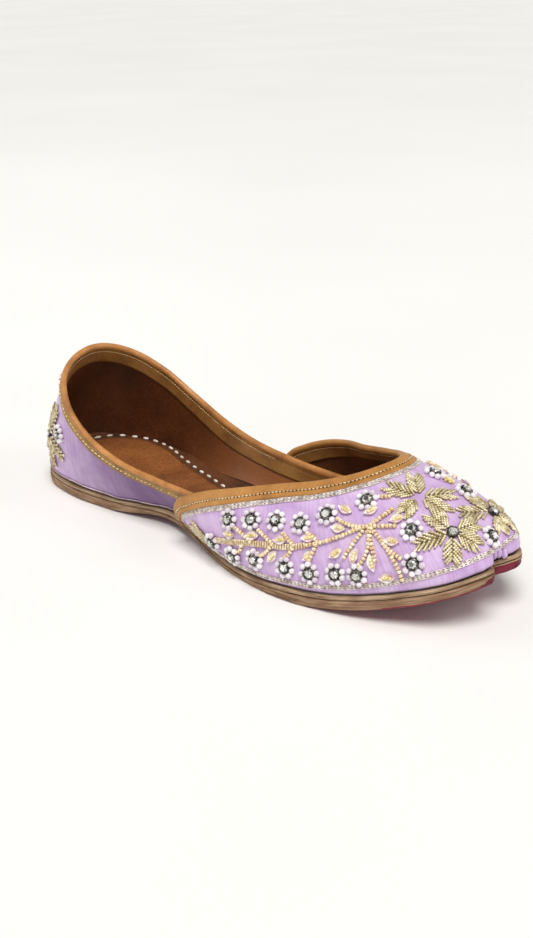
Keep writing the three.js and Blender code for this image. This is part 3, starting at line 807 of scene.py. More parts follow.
# Points round each ring of the sole, and rings that close its faces. Profiles are (inset, height) pairs.
soleSetup = {
    "round": 1400, "closing": 12,
    "outsole": [(3.2, 0.0), (1.5, 0.04), (0.8, 0.11), (0.4, 0.18), (0.25, 0.28), (0.4, 0.4), (0.1, 0.46),
                (0.12, 0.62), (0.3, 0.7), (0.05, 0.76), (0.1, 0.9), (0.35, 0.97), (0.9, 1.0)],
    "rand": [(1.4, 0.0), (0.6, 0.04), (0.35, 0.25), (0.25, 0.5), (0.4, 0.75), (0.7, 0.96), (1.3, 1.0)],
}


def soleLayer(name, base, thick, look, replaced, rough, underLook=None):
    count, profile = soleSetup["round"], soleSetup[name]
    distance, rings = soleRing(profile, base, thick, count)
    middle = rings.mean(axis=0)
    following, previous = np.roll(middle, -1, 0), np.roll(middle, 1, 0)
    sideways = unit(np.stack([following[:, 1] - previous[:, 1], previous[:, 0] - following[:, 0]], -1))
    outwardSign = np.sign(((middle[:, :2] - (lastShape["length"] / 2, 0)) * sideways).sum(1).mean())
    for k, (_, height) in enumerate(profile):
        place = np.stack([rings[k, :, 0], rings[k, :, 1], np.full(count, 40.0 * height)], -1)
        wave = rough * (0.6 * unevenness(place, 9, 21) + 0.4 * unevenness(place, 2.6, 22))
        rings[k, :, :2] -= outwardSign * sideways * np.maximum(wave, -0.2)[:, None]
    under = closeRing(rings[0], soleSetup["closing"])[::-1]
    top = closeRing(rings[-1], soleSetup["closing"])
    stack = np.array(list(under) + list(rings) + list(top))
    total = len(stack)
    index = np.arange(total * count).reshape(total, count)
    ahead = np.roll(index, -1, axis=1)
    faces = np.stack([index[:-1], ahead[:-1], ahead[1:], index[1:]], -1).reshape(-1, 4)
    flat = np.zeros((total, count, 2))
    flat[..., 0] = distance
    flat[..., 1] = stack[..., 2] - floorGap(stack[..., 0])
    flatRows = np.r_[0:len(under), len(under) + len(rings):total]
    flat[flatRows] = stack[flatRows][..., :2]
    more = None
    if underLook:  # the under face's colour climbs the edge at the toe, most of all in its notch
        row, column = np.divmod(np.arange((total - 1) * count), count)
        curl = np.clip((middle[:, 0] - 200) / 30, 0, 1)
        curl += 3.4 * np.clip((middle[:, 0] - 238) / 4, 0, 1) * np.clip((14 - np.abs(middle[:, 1])) / 5, 0, 1)
        more = ([underLook], row < len(under) + 2 + curl[column] * 1.6)
    points, flat = stack.reshape(-1, 3), flat.reshape(-1, 2)
    addPiece(name, points, [faces], look, "sole_leather", replaced, flat, more=more)


soleLayer("outsole", lambda x: 0 * x, outsoleThickness, soleEdge, "outsole", 0.28, redLeather)
soleLayer("rand", midsoleBase, lambda x: lastShape["midsole"] + 0 * x, randEdge, "midsole", 0.2)
print("sole modelled")

# The insole's stitched outline: distance from the heel's rear and half width.
insoleSetup = {
    "rows": 701, "columns": 121,  # points that divide it, along and across
    "seam": [(9.2, 0), (9.8, 9), (14.8, 18.8), (25.2, 24.6), (36, 25.8), (46.4, 24.2), (60.4, 19.2),
             (72.3, 15.8), (84.8, 12.5), (96, 9.4), (109, 6.8)],
    "fork": [(113.8, 9.3), (123.5, 19), (133, 25), (141, 29)],
    "channelHalf": 2.3, "channelDepth": 0.5, "cutInset": 3.3,
    "stitchLength": 3.4, "stitchPitch": 6.4, "stitchWidth": 1.5,
}


def softPath(points, count=200):
    points = np.array(points, float)
    places = placesAlong(points)
    return smoothCurve(points, places)(np.linspace(0, places[-1], count))


def distanceToPath(x, y, path):
    best = np.full(x.shape, 1e9)
    for a, b in zip(path[:-1], path[1:]):
        run = b - a
        t = np.clip(((x - a[0]) * run[0] + (y - a[1]) * run[1]) / max(run @ run, 1e-9), 0, 1)
        best = np.minimum(best, np.hypot(x - a[0] - t * run[0], y - a[1] - t * run[1]))
    return best


def insoleThickness(x):
    pad = smoothStep((lastShape["heelPadEnd"] - x) / lastShape["heelPadRun"])
    return lastShape["insole"] + lastShape["heelPad"] * pad


def insoleSeams(x, y):
    seam = distanceToPath(x, np.abs(y), softPath(insoleSetup["seam"], 60))
    fork = distanceToPath(x, np.abs(y), softPath(insoleSetup["fork"], 30))
    return seam, fork


def insoleTop(x, y):
    setup = insoleSetup
    seam, fork = insoleSeams(x, y)
    near = np.minimum(seam, fork)
    drop = setup["channelDepth"] * np.exp(-(near / setup["channelHalf"]) ** 4)
    drop += 0.5 * np.exp(-((seam - setup["cutInset"]) / 0.5) ** 2) * (x < 116)
    point = distanceToPath(x, np.abs(y), np.array([(118, 0), (141, 24.5), (160, 34)], float))
    drop += 0.35 * np.exp(-(point / 0.5) ** 2)
    belly = 0.5 * np.exp(-((x - 52) / 26) ** 2 - (y / 14) ** 2)
    swell = 0.12 * unevenness(np.stack([x, y], -1), 22, 31)
    return insoleThickness(x) - drop + belly + swell


def makeInsole():
    rows, columns = insoleSetup["rows"], insoleSetup["columns"]
    turn = (1 - np.cos(np.pi * np.linspace(0.004, 0.996, rows))) / 2
    distance = np.linspace(2, outlineHalf - 2, 900)
    overlap = np.clip((distance - 80) / 50, 0, 1) * np.clip((206 - distance) / 30, 0, 1)
    inset = 3.2 + 4.0 * overlap
    lowX, lowY = outlinePoint(distance, inset)
    topX, topY = outlinePoint(distance, inset - 0.8 * np.clip((90 - distance) / 40, 0, 1))
    x = lowX.min() + (lowX.max() - 3.2 - lowX.min()) * turn
    order = np.argsort(lowX)
    half = np.interp(x, lowX[order], lowY[order])
    orderTop = np.argsort(topX)
    halfTop = np.interp(x, topX[orderTop], topY[orderTop])
    side = np.sin(np.linspace(-1, 1, columns) * math.pi / 2 * 0.94) / math.sin(math.pi / 2 * 0.94)
    gx = np.broadcast_to(x[:, None], (rows, columns))
    gy = halfTop[:, None] * side[None, :]
    near = np.clip(1 - np.abs(gy) / lastShape["notchHalf"], 0, 1) ** lastShape["notchPower"]
    reach, tip = 222, x.max()
    gx = np.where(gx > reach, gx - lastShape["notchDepth"] * near * (gx - reach) / (tip - reach), gx)
    base = floorGap(gx) + insoleBase(gx)
    edge = np.clip((1 - np.abs(side)[None, :]) * halfTop[:, None] / 1.0, 0, 1)
    top = np.stack([gx, gy, base + insoleTop(gx, gy) - 0.5 * (1 - edge) ** 2], -1)
    low = np.stack([gx, half[:, None] * side[None, :], base], -1)
    points, faces = closedSheet(top, low)
    flat = np.concatenate([top[..., :2].reshape(-1, 2)] * 2)
    corner = top[:-1, :-1]
    seam, fork = insoleSeams(corner[..., 0], corner[..., 1])
    line = np.array(insoleSetup["seam"][1:], float)
    seamHalf = np.interp(corner[..., 0], line[:, 0], line[:, 1])
    beyond = (np.abs(corner[..., 1]) > seamHalf) & (corner[..., 0] < line[-1, 0])
    dark = ((np.minimum(seam, fork) < insoleSetup["cutInset"]) | beyond).ravel()
    numbers = np.concatenate([dark, np.zeros(len(faces[1]) + len(faces[2]))])
    addPiece("insole", points, [f[:, ::-1] for f in faces], insoleLeather, "lining_leather", "insole", flat,
             more=([recessLeather], numbers))


makeInsole()


# Copies of a small shape, each in its own frame: origins, axes along x, y and z, and sizes.
def stamped(shape, origins, xAxes, yAxes, zAxes, sizes):
    verts, faceSets = shape
    count = len(origins)
    scaled = verts[None] * np.asarray(sizes, float).reshape(count, 1, -1)
    points = (origins[:, None] + scaled[..., 0:1] * xAxes[:, None] + scaled[..., 1:2] * yAxes[:, None]
              + scaled[..., 2:3] * zAxes[:, None]).reshape(-1, 3)
    shift = np.arange(count)[:, None, None] * len(verts)
    return points, [(faces[None] + shift).reshape(-1, faces.shape[1]) for faces in faceSets]


def joined(parts):
    points, faceSets, start = [], [], 0
    for verts, faces in parts:
        points.append(verts)
        faceSets += [f + start for f in faces]
        start += len(verts)
    return np.concatenate(points), faceSets


# A shape turned round the x axis from (x, radius) pairs, closed at both ends.
def turned(profile, segments):
    angles = 2 * math.pi * np.arange(segments) / segments
    rings = [np.stack([np.full(segments, x), r * np.cos(angles), r * np.sin(angles)], -1) for x, r in profile]
    verts = np.concatenate(rings)
    index = np.arange(len(verts)).reshape(len(profile), segments)
    ahead = np.roll(index, -1, axis=1)
    quads = np.stack([index[:-1], index[1:], ahead[1:], ahead[:-1]], -1).reshape(-1, 4)
    return verts, [quads, index[0][None, :], index[-1][None, ::-1]]


def ballShape(rings, segments):
    angles = np.linspace(0.12, math.pi - 0.12, rings)
    return turned([(-math.cos(a), math.sin(a)) for a in angles], segments)


def beadShape():
    side = [(-0.38, 0.3), (-0.48, 0.55), (-0.34, 0.86), (0, 1.0), (0.34, 0.86), (0.48, 0.55), (0.38, 0.3)]
    return turned(side, 12)


def coilShape(turns):
    profile = [(-0.5, 0.45)]
    for k in range(turns):
        low = -0.5 + k / turns
        profile += [(low + 0.05 / turns, 0.55), (low + 0.5 / turns, 1.0), (low + 0.95 / turns, 0.55)]
    return turned(profile + [(0.5, 0.45)], 10)


def linkShape():
    around, across = 14, 6
    a = 2 * math.pi * np.arange(around) / around
    b = 2 * math.pi * np.arange(across) / across
    width = 0.62 * np.sin(a) * (1 + 0.35 * np.cos(a))
    centre = np.stack([np.cos(a), width, np.zeros(around)], -1)
    out = unit(np.stack([np.cos(a) * 0.6, np.sin(a), np.zeros(around)], -1))
    flatPart = np.cos(b)[None, :, None] * out[:, None]
    risenPart = np.sin(b)[None, :, None] * np.array([0, 0, 1.0])
    verts = centre[:, None] + 0.3 * (flatPart + risenPart)
    index = np.arange(around * across).reshape(around, across)
    right, up = np.roll(index, -1, 0), np.roll(index, -1, 1)
    quads = np.stack([index, right, np.roll(right, -1, 1), up], -1).reshape(-1, 4)
    return verts.reshape(-1, 3), [quads]


def onSilk(tree, points):
    places, normals = [], []
    for p in points:
        place, normal, _, _ = tree.find_nearest(Vector(p))
        places.append(place)
        normals.append(normal)
    return np.array(places), np.array(normals)


# Turns normals to the same side as their hints.
def towardHint(normals, hints):
    return normals * np.where((normals * hints).sum(1) < 0, -1, 1)[:, None]


# Frames for things laid end to end on the silk: pairs of end points give where each lies and points.
def framesBetween(tree, starts, ends, lift):
    middle, normal = onSilk(tree, (starts + ends) / 2)
    normal = towardHint(normal, outwardHint(middle))
    along = ends - starts
    along -= (along * normal).sum(1, keepdims=True) * normal
    along = unit(along)
    return middle + normal * lift, along, np.cross(normal, along), normal


def outwardHint(points):
    centre = points.copy()
    centre[:, 0] = np.clip(points[:, 0], 40, 200)
    centre[:, 1] = 0
    centre[:, 2] = 14
    return points - centre


# Points spaced evenly along a path that lies on the silk.
def evenlyAlong(points, pitch):
    places = placesAlong(points)
    count = max(2, int(round(places[-1] / pitch)) + 1)
    return pathAt(points, places, np.linspace(0, places[-1], count))


# A path on the vamp from (distance from the heel, height) places. Side -1 is the near side, +1 the far side.
def vampPlace(distance, height, side):
    foot = distance if side > 0 else outlineTotal - distance
    u, t = vampSurface.locate(foot, height)
    return vampSurface.point(u, t)


def vampPath(corners, side, count=80):
    course = softPath(corners, count)
    return np.array([vampPlace(d, h, side) for d, h in course])


def rowAlong(tree, path, pitch, lift):
    points = evenlyAlong(path, pitch)
    return framesBetween(tree, points[:-1], points[1:], lift)


def placedRow(shape, frames, size, jitter=0.0, seed=0):
    origins, along, across, up = frames
    rng = np.random.default_rng(seed)
    sizes = np.tile(size, (len(origins), 1)) * (1 + jitter * rng.uniform(-1, 1, (len(origins), 1)))
    return stamped(shape, origins, along, across, up, sizes)


bead, ball, coil, link = beadShape(), ballShape(9, 14), coilShape(5), linkShape()
smallBall = ballShape(6, 10)

# Stitches of the bindings: thread between needle holes painted as dark shade, and a fine seam inside.
stitchSetup = {"threadLength": 0.4, "threadHalf": 0.29, "holeHalf": 0.42, "seamPitch": 1.3}


def stitchRow(surface, first, last, down, out, pitch):
    u = np.linspace(first, last, 1500)
    line, above = alongRim(surface, u, down, out), alongRim(surface, u, down, out + math.copysign(1, out))
    places = placesAlong(line)
    count = int(places[-1] / pitch)
    where = (np.arange(count) + 0.5) * places[-1] / count
    origins = pathAt(line, places, where)
    up = unit(pathAt(above, places, where) - origins)
    along = unit(pathAt(line, places, where + 0.3) - pathAt(line, places, where - 0.3))
    return origins, along, np.cross(up, along), up


def bindingStitches(surface, name, trim, first, last, holes, seed):
    rng = np.random.default_rng(seed)
    out = trim["gap"] + trim["thick"] - 0.22
    origins, along, across, up = stitchRow(surface, first, last, trim["stitchDown"], out, trim["stitchPitch"])
    count = len(origins)
    slanted = unit(along + rng.normal(0.12, 0.09, (count, 1)) * across)
    length, half = trim["stitchPitch"] * stitchSetup["threadLength"], stitchSetup["threadHalf"]
    sizes = np.array([length, half, half]) * rng.uniform(0.85, 1.1, (count, 1))
    thread = stamped(smallBall, origins + up * 0.2, slanted, np.cross(up, slanted), up, sizes)
    addPiece(name + "Stitches", *thread, bindingThread, "thread")
    if holes:
        # painted shade: dark flattened balls between the stitches stand for the shade in the needle holes
        between = (origins[1:] + origins[:-1]) / 2 + up[1:] * 0.05
        hole = stamped(smallBall, between, along[1:], across[1:], up[1:],
                       np.tile([stitchSetup["holeHalf"]] * 3, (count - 1, 1)) * [1, 1, 0.6])
        addPiece(name + "Holes", *hole, needleHoleShade, "binding_leather")
    inward = -wallAt(trim["seamDown"]) - trim["gap"] - trim["thick"] + 0.1
    seam = stitchRow(surface, first + 0.02, last - 0.02, trim["seamDown"], inward, stitchSetup["seamPitch"])
    seamSize = np.tile([0.58, 0.13, 0.16], (len(seam[0]), 1)) * rng.uniform(0.85, 1.05, (len(seam[0]), 1))
    addPiece(name + "Seam", *stamped(smallBall, *seam, seamSize), bindingThread, "thread")


bindingStitches(vampSurface, "vampBinding", vampTrim, 0.03, 0.97, True, 4)
bindingStitches(quarterSurface, "quarterBinding", quarterTrim, 0.1, 0.9, False, 5)


# Thick stitches of the insole, and the short cross stitch where its three parts meet.
def insoleStitches():
    setup = insoleSetup
    rng = np.random.default_rng(12)
    runs = [(part, side) for part in ("seam", "fork") for side in (1, -1)]
    origins, along = [], []
    for part, side in runs:
        path = softPath(setup[part], 300 if part == "seam" else 100) * (1, side)
        places = placesAlong(path)
        for where in np.arange(3.2 if part == "seam" else 0.8, places[-1] - 0.5, setup["stitchPitch"]):
            here = pathAt(path, places, where)
            origins.append(here)
            along.append(pathAt(path, places, where + 0.8) - here)
    origins.append((116.4, 0.0))
    along.append((0.12, 1.0))
    origins, along = np.array(origins), unit(np.array(along))
    z = floorGap(origins[:, 0]) + insoleBase(origins[:, 0]) + insoleTop(origins[:, 0], origins[:, 1]) + 0.15
    count = len(origins)
    place = np.column_stack([origins, z])
    axis = np.column_stack([along, np.zeros(count)])
    up = np.tile([0, 0, 1.0], (count, 1))
    length = setup["stitchLength"] / 2 * rng.uniform(0.85, 1.12, count)
    length[-1] = 4.2
    size = np.column_stack([length, np.full(count, setup["stitchWidth"] / 2), np.full(count, 0.62)])
    stitches = stamped(ballShape(9, 12), place, axis, np.cross(up, axis), up, size)
    addPiece("insoleStitches", *stitches, cottonThread, "thread")


insoleStitches()
print("stitches sewn")

# Zari: a double chain of metal thread below the vamp's binding and above the sole.
zariSetup = {
    "linkLength": 2.3, "linkHalf": 0.62, "rowGap": 1.15, "topDown": 7.2, "topRows": (-0.5, 0.5),
    "lowerRows": (-0.4, 0.4),
    "lower": [(133, 2.2), (150, 2.2), (175, 2.6), (205, 3.0), (235, 4.2), (262, 5.8), (280, 6.6)],
}


def zariChain(name, line, rows):
    length, half = zariSetup["linkLength"], zariSetup["linkHalf"]
    origins, along, across, up = rowAlong(vampTree, line, length * 0.72, 0.3)
    parts = []
    for row in rows:
        shifted = origins + across * row * zariSetup["rowGap"]
        parts.append(placedRow(link, (shifted, along, across, up), (length * 0.46, half, half), 0.06, 9))
    addPiece(name, *joined(parts), zariThread, "metal_thread")


def topZariLine():
    u = np.linspace(0.035, 0.965, 500)
    return alongRim(vampSurface, u, zariSetup["topDown"], 0.05)


def lowerZariLine():
    near = vampPath(zariSetup["lower"], -1, 120)
    far = vampPath(zariSetup["lower"], 1, 120)
    tip = vampSurface.point(0.5, vampSurface.locate(outlineHalf, 8.0)[1])
    return np.vstack([near, tip[None], far[::-1]])


zariChain("zariTop", topZariLine(), zariSetup["topRows"])
zariChain("zariLower", lowerZariLine(), zariSetup["lowerRows"])


# A thin cord covers the quarter's silk where it meets the rand.
def footCord():
    foot = np.linspace(-123, 123, 700)
    line = np.array([quarterSurface.point(*quarterSurface.locate(f, 1.9)) for f in foot])
    origins, along, _, up = rowAlong(quarterTree, line, 0.85, 0.4)
    twist = unit(along + 0.55 * np.cross(up, along))
    cord = placedRow(smallBall, (origins, twist, np.cross(up, twist), up), (0.75, 0.32, 0.36), 0.05, 3)
    addPiece("quarterFootCord", *cord, footThread, "thread")


footCord()

# Pearl flowers, as (distance from the heel round the outline, height above the sole).
pearlSetup = {
    "upper": [(172.6, 23), (184.8, 25), (197.4, 26.5), (209.4, 27.3), (223.5, 32.3)],
    "lower": [(157.4, 9.4), (170, 7.4), (184.2, 9.3), (199.8, 9), (210.6, 8.5), (221.6, 9), (230.6, 8.6),
              (253.3, 10.6)],
    "nearOnly": [(248, 39.6), (259.7, 23.9), (287.6, 12)],
    "farOnly": [(279.8, 46.2), (281.1, 32)],
    "pearls": 8, "pearlRadius": 1.22, "ringRadius": 3.35, "settingRadius": 2.35, "stoneRadius": 1.95,
}


def settingShape():
    parts = [turned([(0.0, 0.9), (0.35, 1.0), (0.75, 0.95), (0.8, 0.7), (0.4, 0.62)], 16)]
    claws = 8
    angle = 2 * math.pi * np.arange(claws) / claws
    radial = np.stack([np.zeros(claws), np.cos(angle), np.sin(angle)], -1)
    origins = radial * 0.92 + (0.62, 0, 0)
    tangent = np.stack([np.zeros(claws), -np.sin(angle), np.cos(angle)], -1)
    lean = unit(np.tile([1.0, 0, 0], (claws, 1)) * 0.9 - radial * 0.35)
    parts.append(stamped(ballShape(5, 6), origins, lean, tangent, np.cross(lean, tangent),
                         np.tile([0.42, 0.17, 0.2], (claws, 1))))
    verts, faces = joined(parts)
    return verts[:, [2, 1, 0]] * (1, -1, 1), faces


# A round cut stone: table, crown facets in two tiers, girdle and a closed back.
def stoneShape():
    # height, radius, corners, turn
    tiers = [(0.0, 0.75, 8, 0.0), (0.3, 1.0, 16, 0.0), (0.42, 1.0, 16, 0.0), (0.78, 0.72, 8, 0.5),
             (0.95, 0.5, 8, 0.0)]
    rings = []
    for z, r, n, turn in tiers:
        a = 2 * math.pi * (np.arange(16) // (16 // n) + turn) / n
        rings.append(np.stack([r * np.cos(a), r * np.sin(a), np.full(16, z)], -1))
    verts = np.concatenate(rings)
    index = np.arange(len(verts)).reshape(len(tiers), 16)
    ahead = np.roll(index, -1, 1)
    tris = []
    for k in range(len(tiers) - 1):
        for a, b, c, d in zip(index[k], ahead[k], ahead[k + 1], index[k + 1]):
            tris += [(a, b, c), (a, c, d)]
    tris = np.array(tris)
    a, b, c = verts[tris].transpose(1, 0, 2)
    tris = tris[np.linalg.norm(np.cross(b - a, c - a), axis=1) > 1e-6]  # without those of no size
    cap = np.arange(0, 16, 2) + index[-1][0]
    return verts, [tris, cap[None, :]]


def flowerFrames(centres, tree):
    places, normals = onSilk(tree, centres)
    normals = towardHint(normals, outwardHint(places))
    along = unit(np.cross(normals, np.tile([0.2, 0.1, 1.0], (len(places), 1))))
    return places, along, np.cross(normals, along), normals


def pearlFlowers(name, centres, tree, seed):
    setup = pearlSetup
    rng = np.random.default_rng(seed)
    places, along, across, up = flowerFrames(np.array(centres), tree)
    pearls, count = [], setup["pearls"]
    for place, a, b, n in zip(places, along, across, up):
        start = rng.uniform(0, 6.28)
        angles = start + 2 * math.pi * (np.arange(count) + rng.uniform(-0.08, 0.08, count)) / count
        radius = setup["ringRadius"] * rng.uniform(0.96, 1.04, count)
        ring = place + radius[:, None] * (np.cos(angles)[:, None] * a + np.sin(angles)[:, None] * b)
        at, normal = onSilk(tree, ring)
        pearls.append(at + towardHint(normal, n) * setup["pearlRadius"] * 0.86)
    pearls = np.concatenate(pearls)
    ones = np.tile(np.eye(3)[None], (len(pearls), 1, 1))
    sizes = setup["pearlRadius"] * rng.uniform(0.93, 1.05, (len(pearls), 1)) * np.ones(3)
    addPiece(name + "Pearls", *stamped(ball, pearls, ones[:, 0], ones[:, 1], ones[:, 2], sizes), pearlGlass,
             "pearl_bead")
    settings(name, places, along, across, up, setup["settingRadius"], setup["stoneRadius"], rng)


def settings(name, places, along, across, up, settingRadius, stoneRadius, rng):
    count = len(places)
    turn = rng.uniform(0, 6.28, (count, 1))
    a = along * np.cos(turn) + across * np.sin(turn)
    b = np.cross(up, a)
    tilt = unit(up + a * rng.normal(0, 0.05, (count, 1)) + b * rng.normal(0, 0.05, (count, 1)))
    a = unit(a - (a * tilt).sum(1, keepdims=True) * tilt)
    b = np.cross(tilt, a)
    base = places + tilt * 0.15
    cups = stamped(settingShape(), base, a, b, tilt, np.full((count, 3), settingRadius))
    addPiece(name + "Settings", *cups, settingMetal, "stone_setting")
    seats = base + tilt * 0.3 * settingRadius
    stones = stamped(stoneShape(), seats, a, b, tilt, np.full((count, 3), stoneRadius))
    addPiece(name + "Stones", *stones, stoneGlass, "stone", smooth=False)


sides = ((-1, "near"), (1, "far"))
for k, (side, label) in enumerate(sides):
    flowers = pearlSetup["upper"] + pearlSetup["lower"] + pearlSetup[label + "Only"]
    pearlFlowers(label + "Flower", [vampPlace(*flower, side) for flower in flowers], vampTree, 41 + k)
print("pearl flowers sewn")

# Beaded stems: the main stem, then each side stem from where it leaves the main one.
stemSetup = {
    "main": [(160, 11), (177, 14.7), (191, 16.2), (200.7, 17), (210, 18.8), (219, 21), (229, 24),
             (236.7, 26.4), (243, 27.5)],
    "sides": [
        [(243, 27.5), (249, 27.2), (255, 26.8)], [(243, 27.5), (250, 31), (258.6, 35.2)],
        [(243, 27.5), (233, 28.5), (228.2, 31)], [(243.4, 27), (245.6, 20), (247, 11), (247.4, 4.8)],
        [(245.3, 20.5), (247.6, 16), (250, 13)], [(240, 26), (232, 20), (226.6, 14.8)],
        [(241.6, 26), (238.4, 18.5), (232, 12)], [(243, 27.5), (240.5, 20), (239.6, 13)],
        [(184, 15.8), (179.4, 18.6), (175.2, 20.4)], [(195.5, 16.6), (190.5, 20), (187.5, 21.6)],
        [(206, 18), (202, 21), (200.4, 22.6)], [(217, 20.6), (214, 23), (211.8, 24.2)],
        [(178, 14.4), (177, 12), (173, 10)], [(194, 16), (190.6, 12.8), (187.4, 11.4)],
        [(205, 17.6), (202, 14), (200, 12.5)], [(216, 20.2), (213, 15.5), (211, 13)],
        [(244, 41.2), (254, 41.6), (262, 41.5)],
    ],
    "ladderEnd": 0.62, "rungPitch": 1.2, "rung": (2.4, 0.6, 0.62),
    "beadPitch": 1.45, "bead": (1.4, 0.92, 0.92),
}


# The main stem starts as a ladder of coiled rungs and goes on as a row of beads, like the side stems.
def beadedStems(name, side):
    setup, main = stemSetup, vampPath(stemSetup["main"], side)
    split = int(len(main) * setup["ladderEnd"])
    origins, along, across, up = rowAlong(vampTree, main[:split], setup["rungPitch"], 0.55)
    parts = [placedRow(coil, (origins, across, -along, up), setup["rung"], 0.05, 15)]
    beadRows = [(main[split - 1:], 16)]
    beadRows += [(vampPath(corners, side, 40), 60 + k) for k, corners in enumerate(setup["sides"])]
    for path, seed in beadRows:
        row = rowAlong(vampTree, path, setup["beadPitch"], 0.8)
        parts.append(placedRow(bead, row, setup["bead"], 0.07, seed))
    addPiece(name, *joined(parts), seedGlass, "seed_bead")


for side, label in sides:
    beadedStems(label + "Stems", side)

# Leaf sequins, as (distance, height, direction in degrees from the way to the toe, length).
leafSetup = {
    "leaves": [
        (171.6, 16.8, 5, 6.6), (184.6, 18.8, 12, 6.8), (199.2, 19.5, 12, 7), (212.9, 22.2, 12, 7),
        (228, 26.9, -5, 6.4), (234, 34.9, -30, 6.8), (194.4, 12.3, 225, 6.4), (211.7, 15.2, 215, 6),
        (224, 17, 210, 6.6), (231.6, 15.9, 240, 6.6), (247.4, 34.6, 25, 6.4), (257, 30, 12, 6.4),
        (249.5, 20.6, -15, 6.6), (238, 13, 265, 7), (241.8, 6.9, -5, 7),
    ],
    "width": 3.8, "dish": 0.75, "beadSize": (1.2, 0.66, 0.66),
}


def leafShape():
    rows, columns = 17, 9
    x = np.linspace(-1, 1, rows)[:, None] * np.ones((1, columns))
    y = np.linspace(-1, 1, columns)[None, :] * (1 - np.abs(x) ** 1.7)
    rimmed = np.maximum(np.abs(np.linspace(-1, 1, columns))[None, :], np.abs(x) ** 2) ** 4
    top = np.stack([x, y, 0.25 + 0.75 * rimmed], -1)
    return closedSheet(top, top - (0, 0, 0.3))


def leafSequins(name, side):
    sequins, beads = [], []
    for k, (distance, height, degrees, length) in enumerate(leafSetup["leaves"]):
        centre = vampPlace(distance, height, side)
        ahead = vampPlace(distance + 0.6, height, side) - centre
        rise = vampPlace(distance, height + 0.6, side) - centre
        way = unit(ahead) * math.cos(math.radians(degrees)) + unit(rise) * math.sin(math.radians(degrees))
        ends = np.array([centre - way * length / 2]), np.array([centre + way * length / 2])
        frame = framesBetween(vampTree, *ends, 0.55)
        sequins.append(placedRow(leaf, frame, (length / 2, leafSetup["width"] / 2, leafSetup["dish"])))
        origins, along, across, up = frame
        for step in (-0.27, 0.06, 0.36):
            at = origins + along * length / 2 * step * 1.1 + up * 0.62
            beads.append(placedRow(bead, (at, along, across, up), leafSetup["beadSize"], 0.1, 90 + k))
    addPiece(name + "Sequins", *joined(sequins), sequinFilm, "sequin")
    addPiece(name + "LeafBeads", *joined(beads), yellowGlass, "seed_bead")


leaf = leafShape()
for side, label in sides:
    leafSequins(label, side)
print("stems and leaves sewn")

# Flowers of coiled gold wire: the centre, each petal's tip, and the size of the stone in the middle, or 0.
goldSetup = {
    "toe": [
        ((218.5, -11, 45),
         [(204.5, -14.5, 47), (209, -2, 49), (227, 2, 44.5), (232, -9.5, 41.5), (217.5, -21, 40)], 0),
        ((236.5, -15, 37.5),
         [(225, -15, 42), (241, -2.5, 38.5), (226, -26.5, 31), (247, -11, 33.5), (241.5, -22, 26.5)], 1),
        ((239.5, 7.5, 39),
         [(233, -7.5, 41.5), (229, 6, 43.5), (247.5, 3.5, 33.5), (246.5, 14, 31.5), (234, 20, 36)], 1),
    ],
    # on the wing and the heel the places are distances round the outline and heights
    "wing": ((153.5, 5.5), (144.5, 14.5)),
    "heel": [
        ((0, 42), [(-13, 36), (-9, 53), (9, 53), (13, 36), (0, 29)]),
        ((-31, 20), [(-50, 13), (-38, 4), (-16, 8), (-18, 32), (-40, 38)]),
        ((31, 20), [(50, 13), (38, 4), (16, 8), (18, 32), (40, 38)]),
    ],
    "coreRadius": 2.2, "tubes": 6, "tubeLength": 5.3, "tubeRadius": 0.66, "slant": 42,
    "padding": (0.44, 2.6, 0.6),  # share of the petal's length, half width, thickness
    "settingRadius": 2.2, "stoneRadius": 1.8,
}


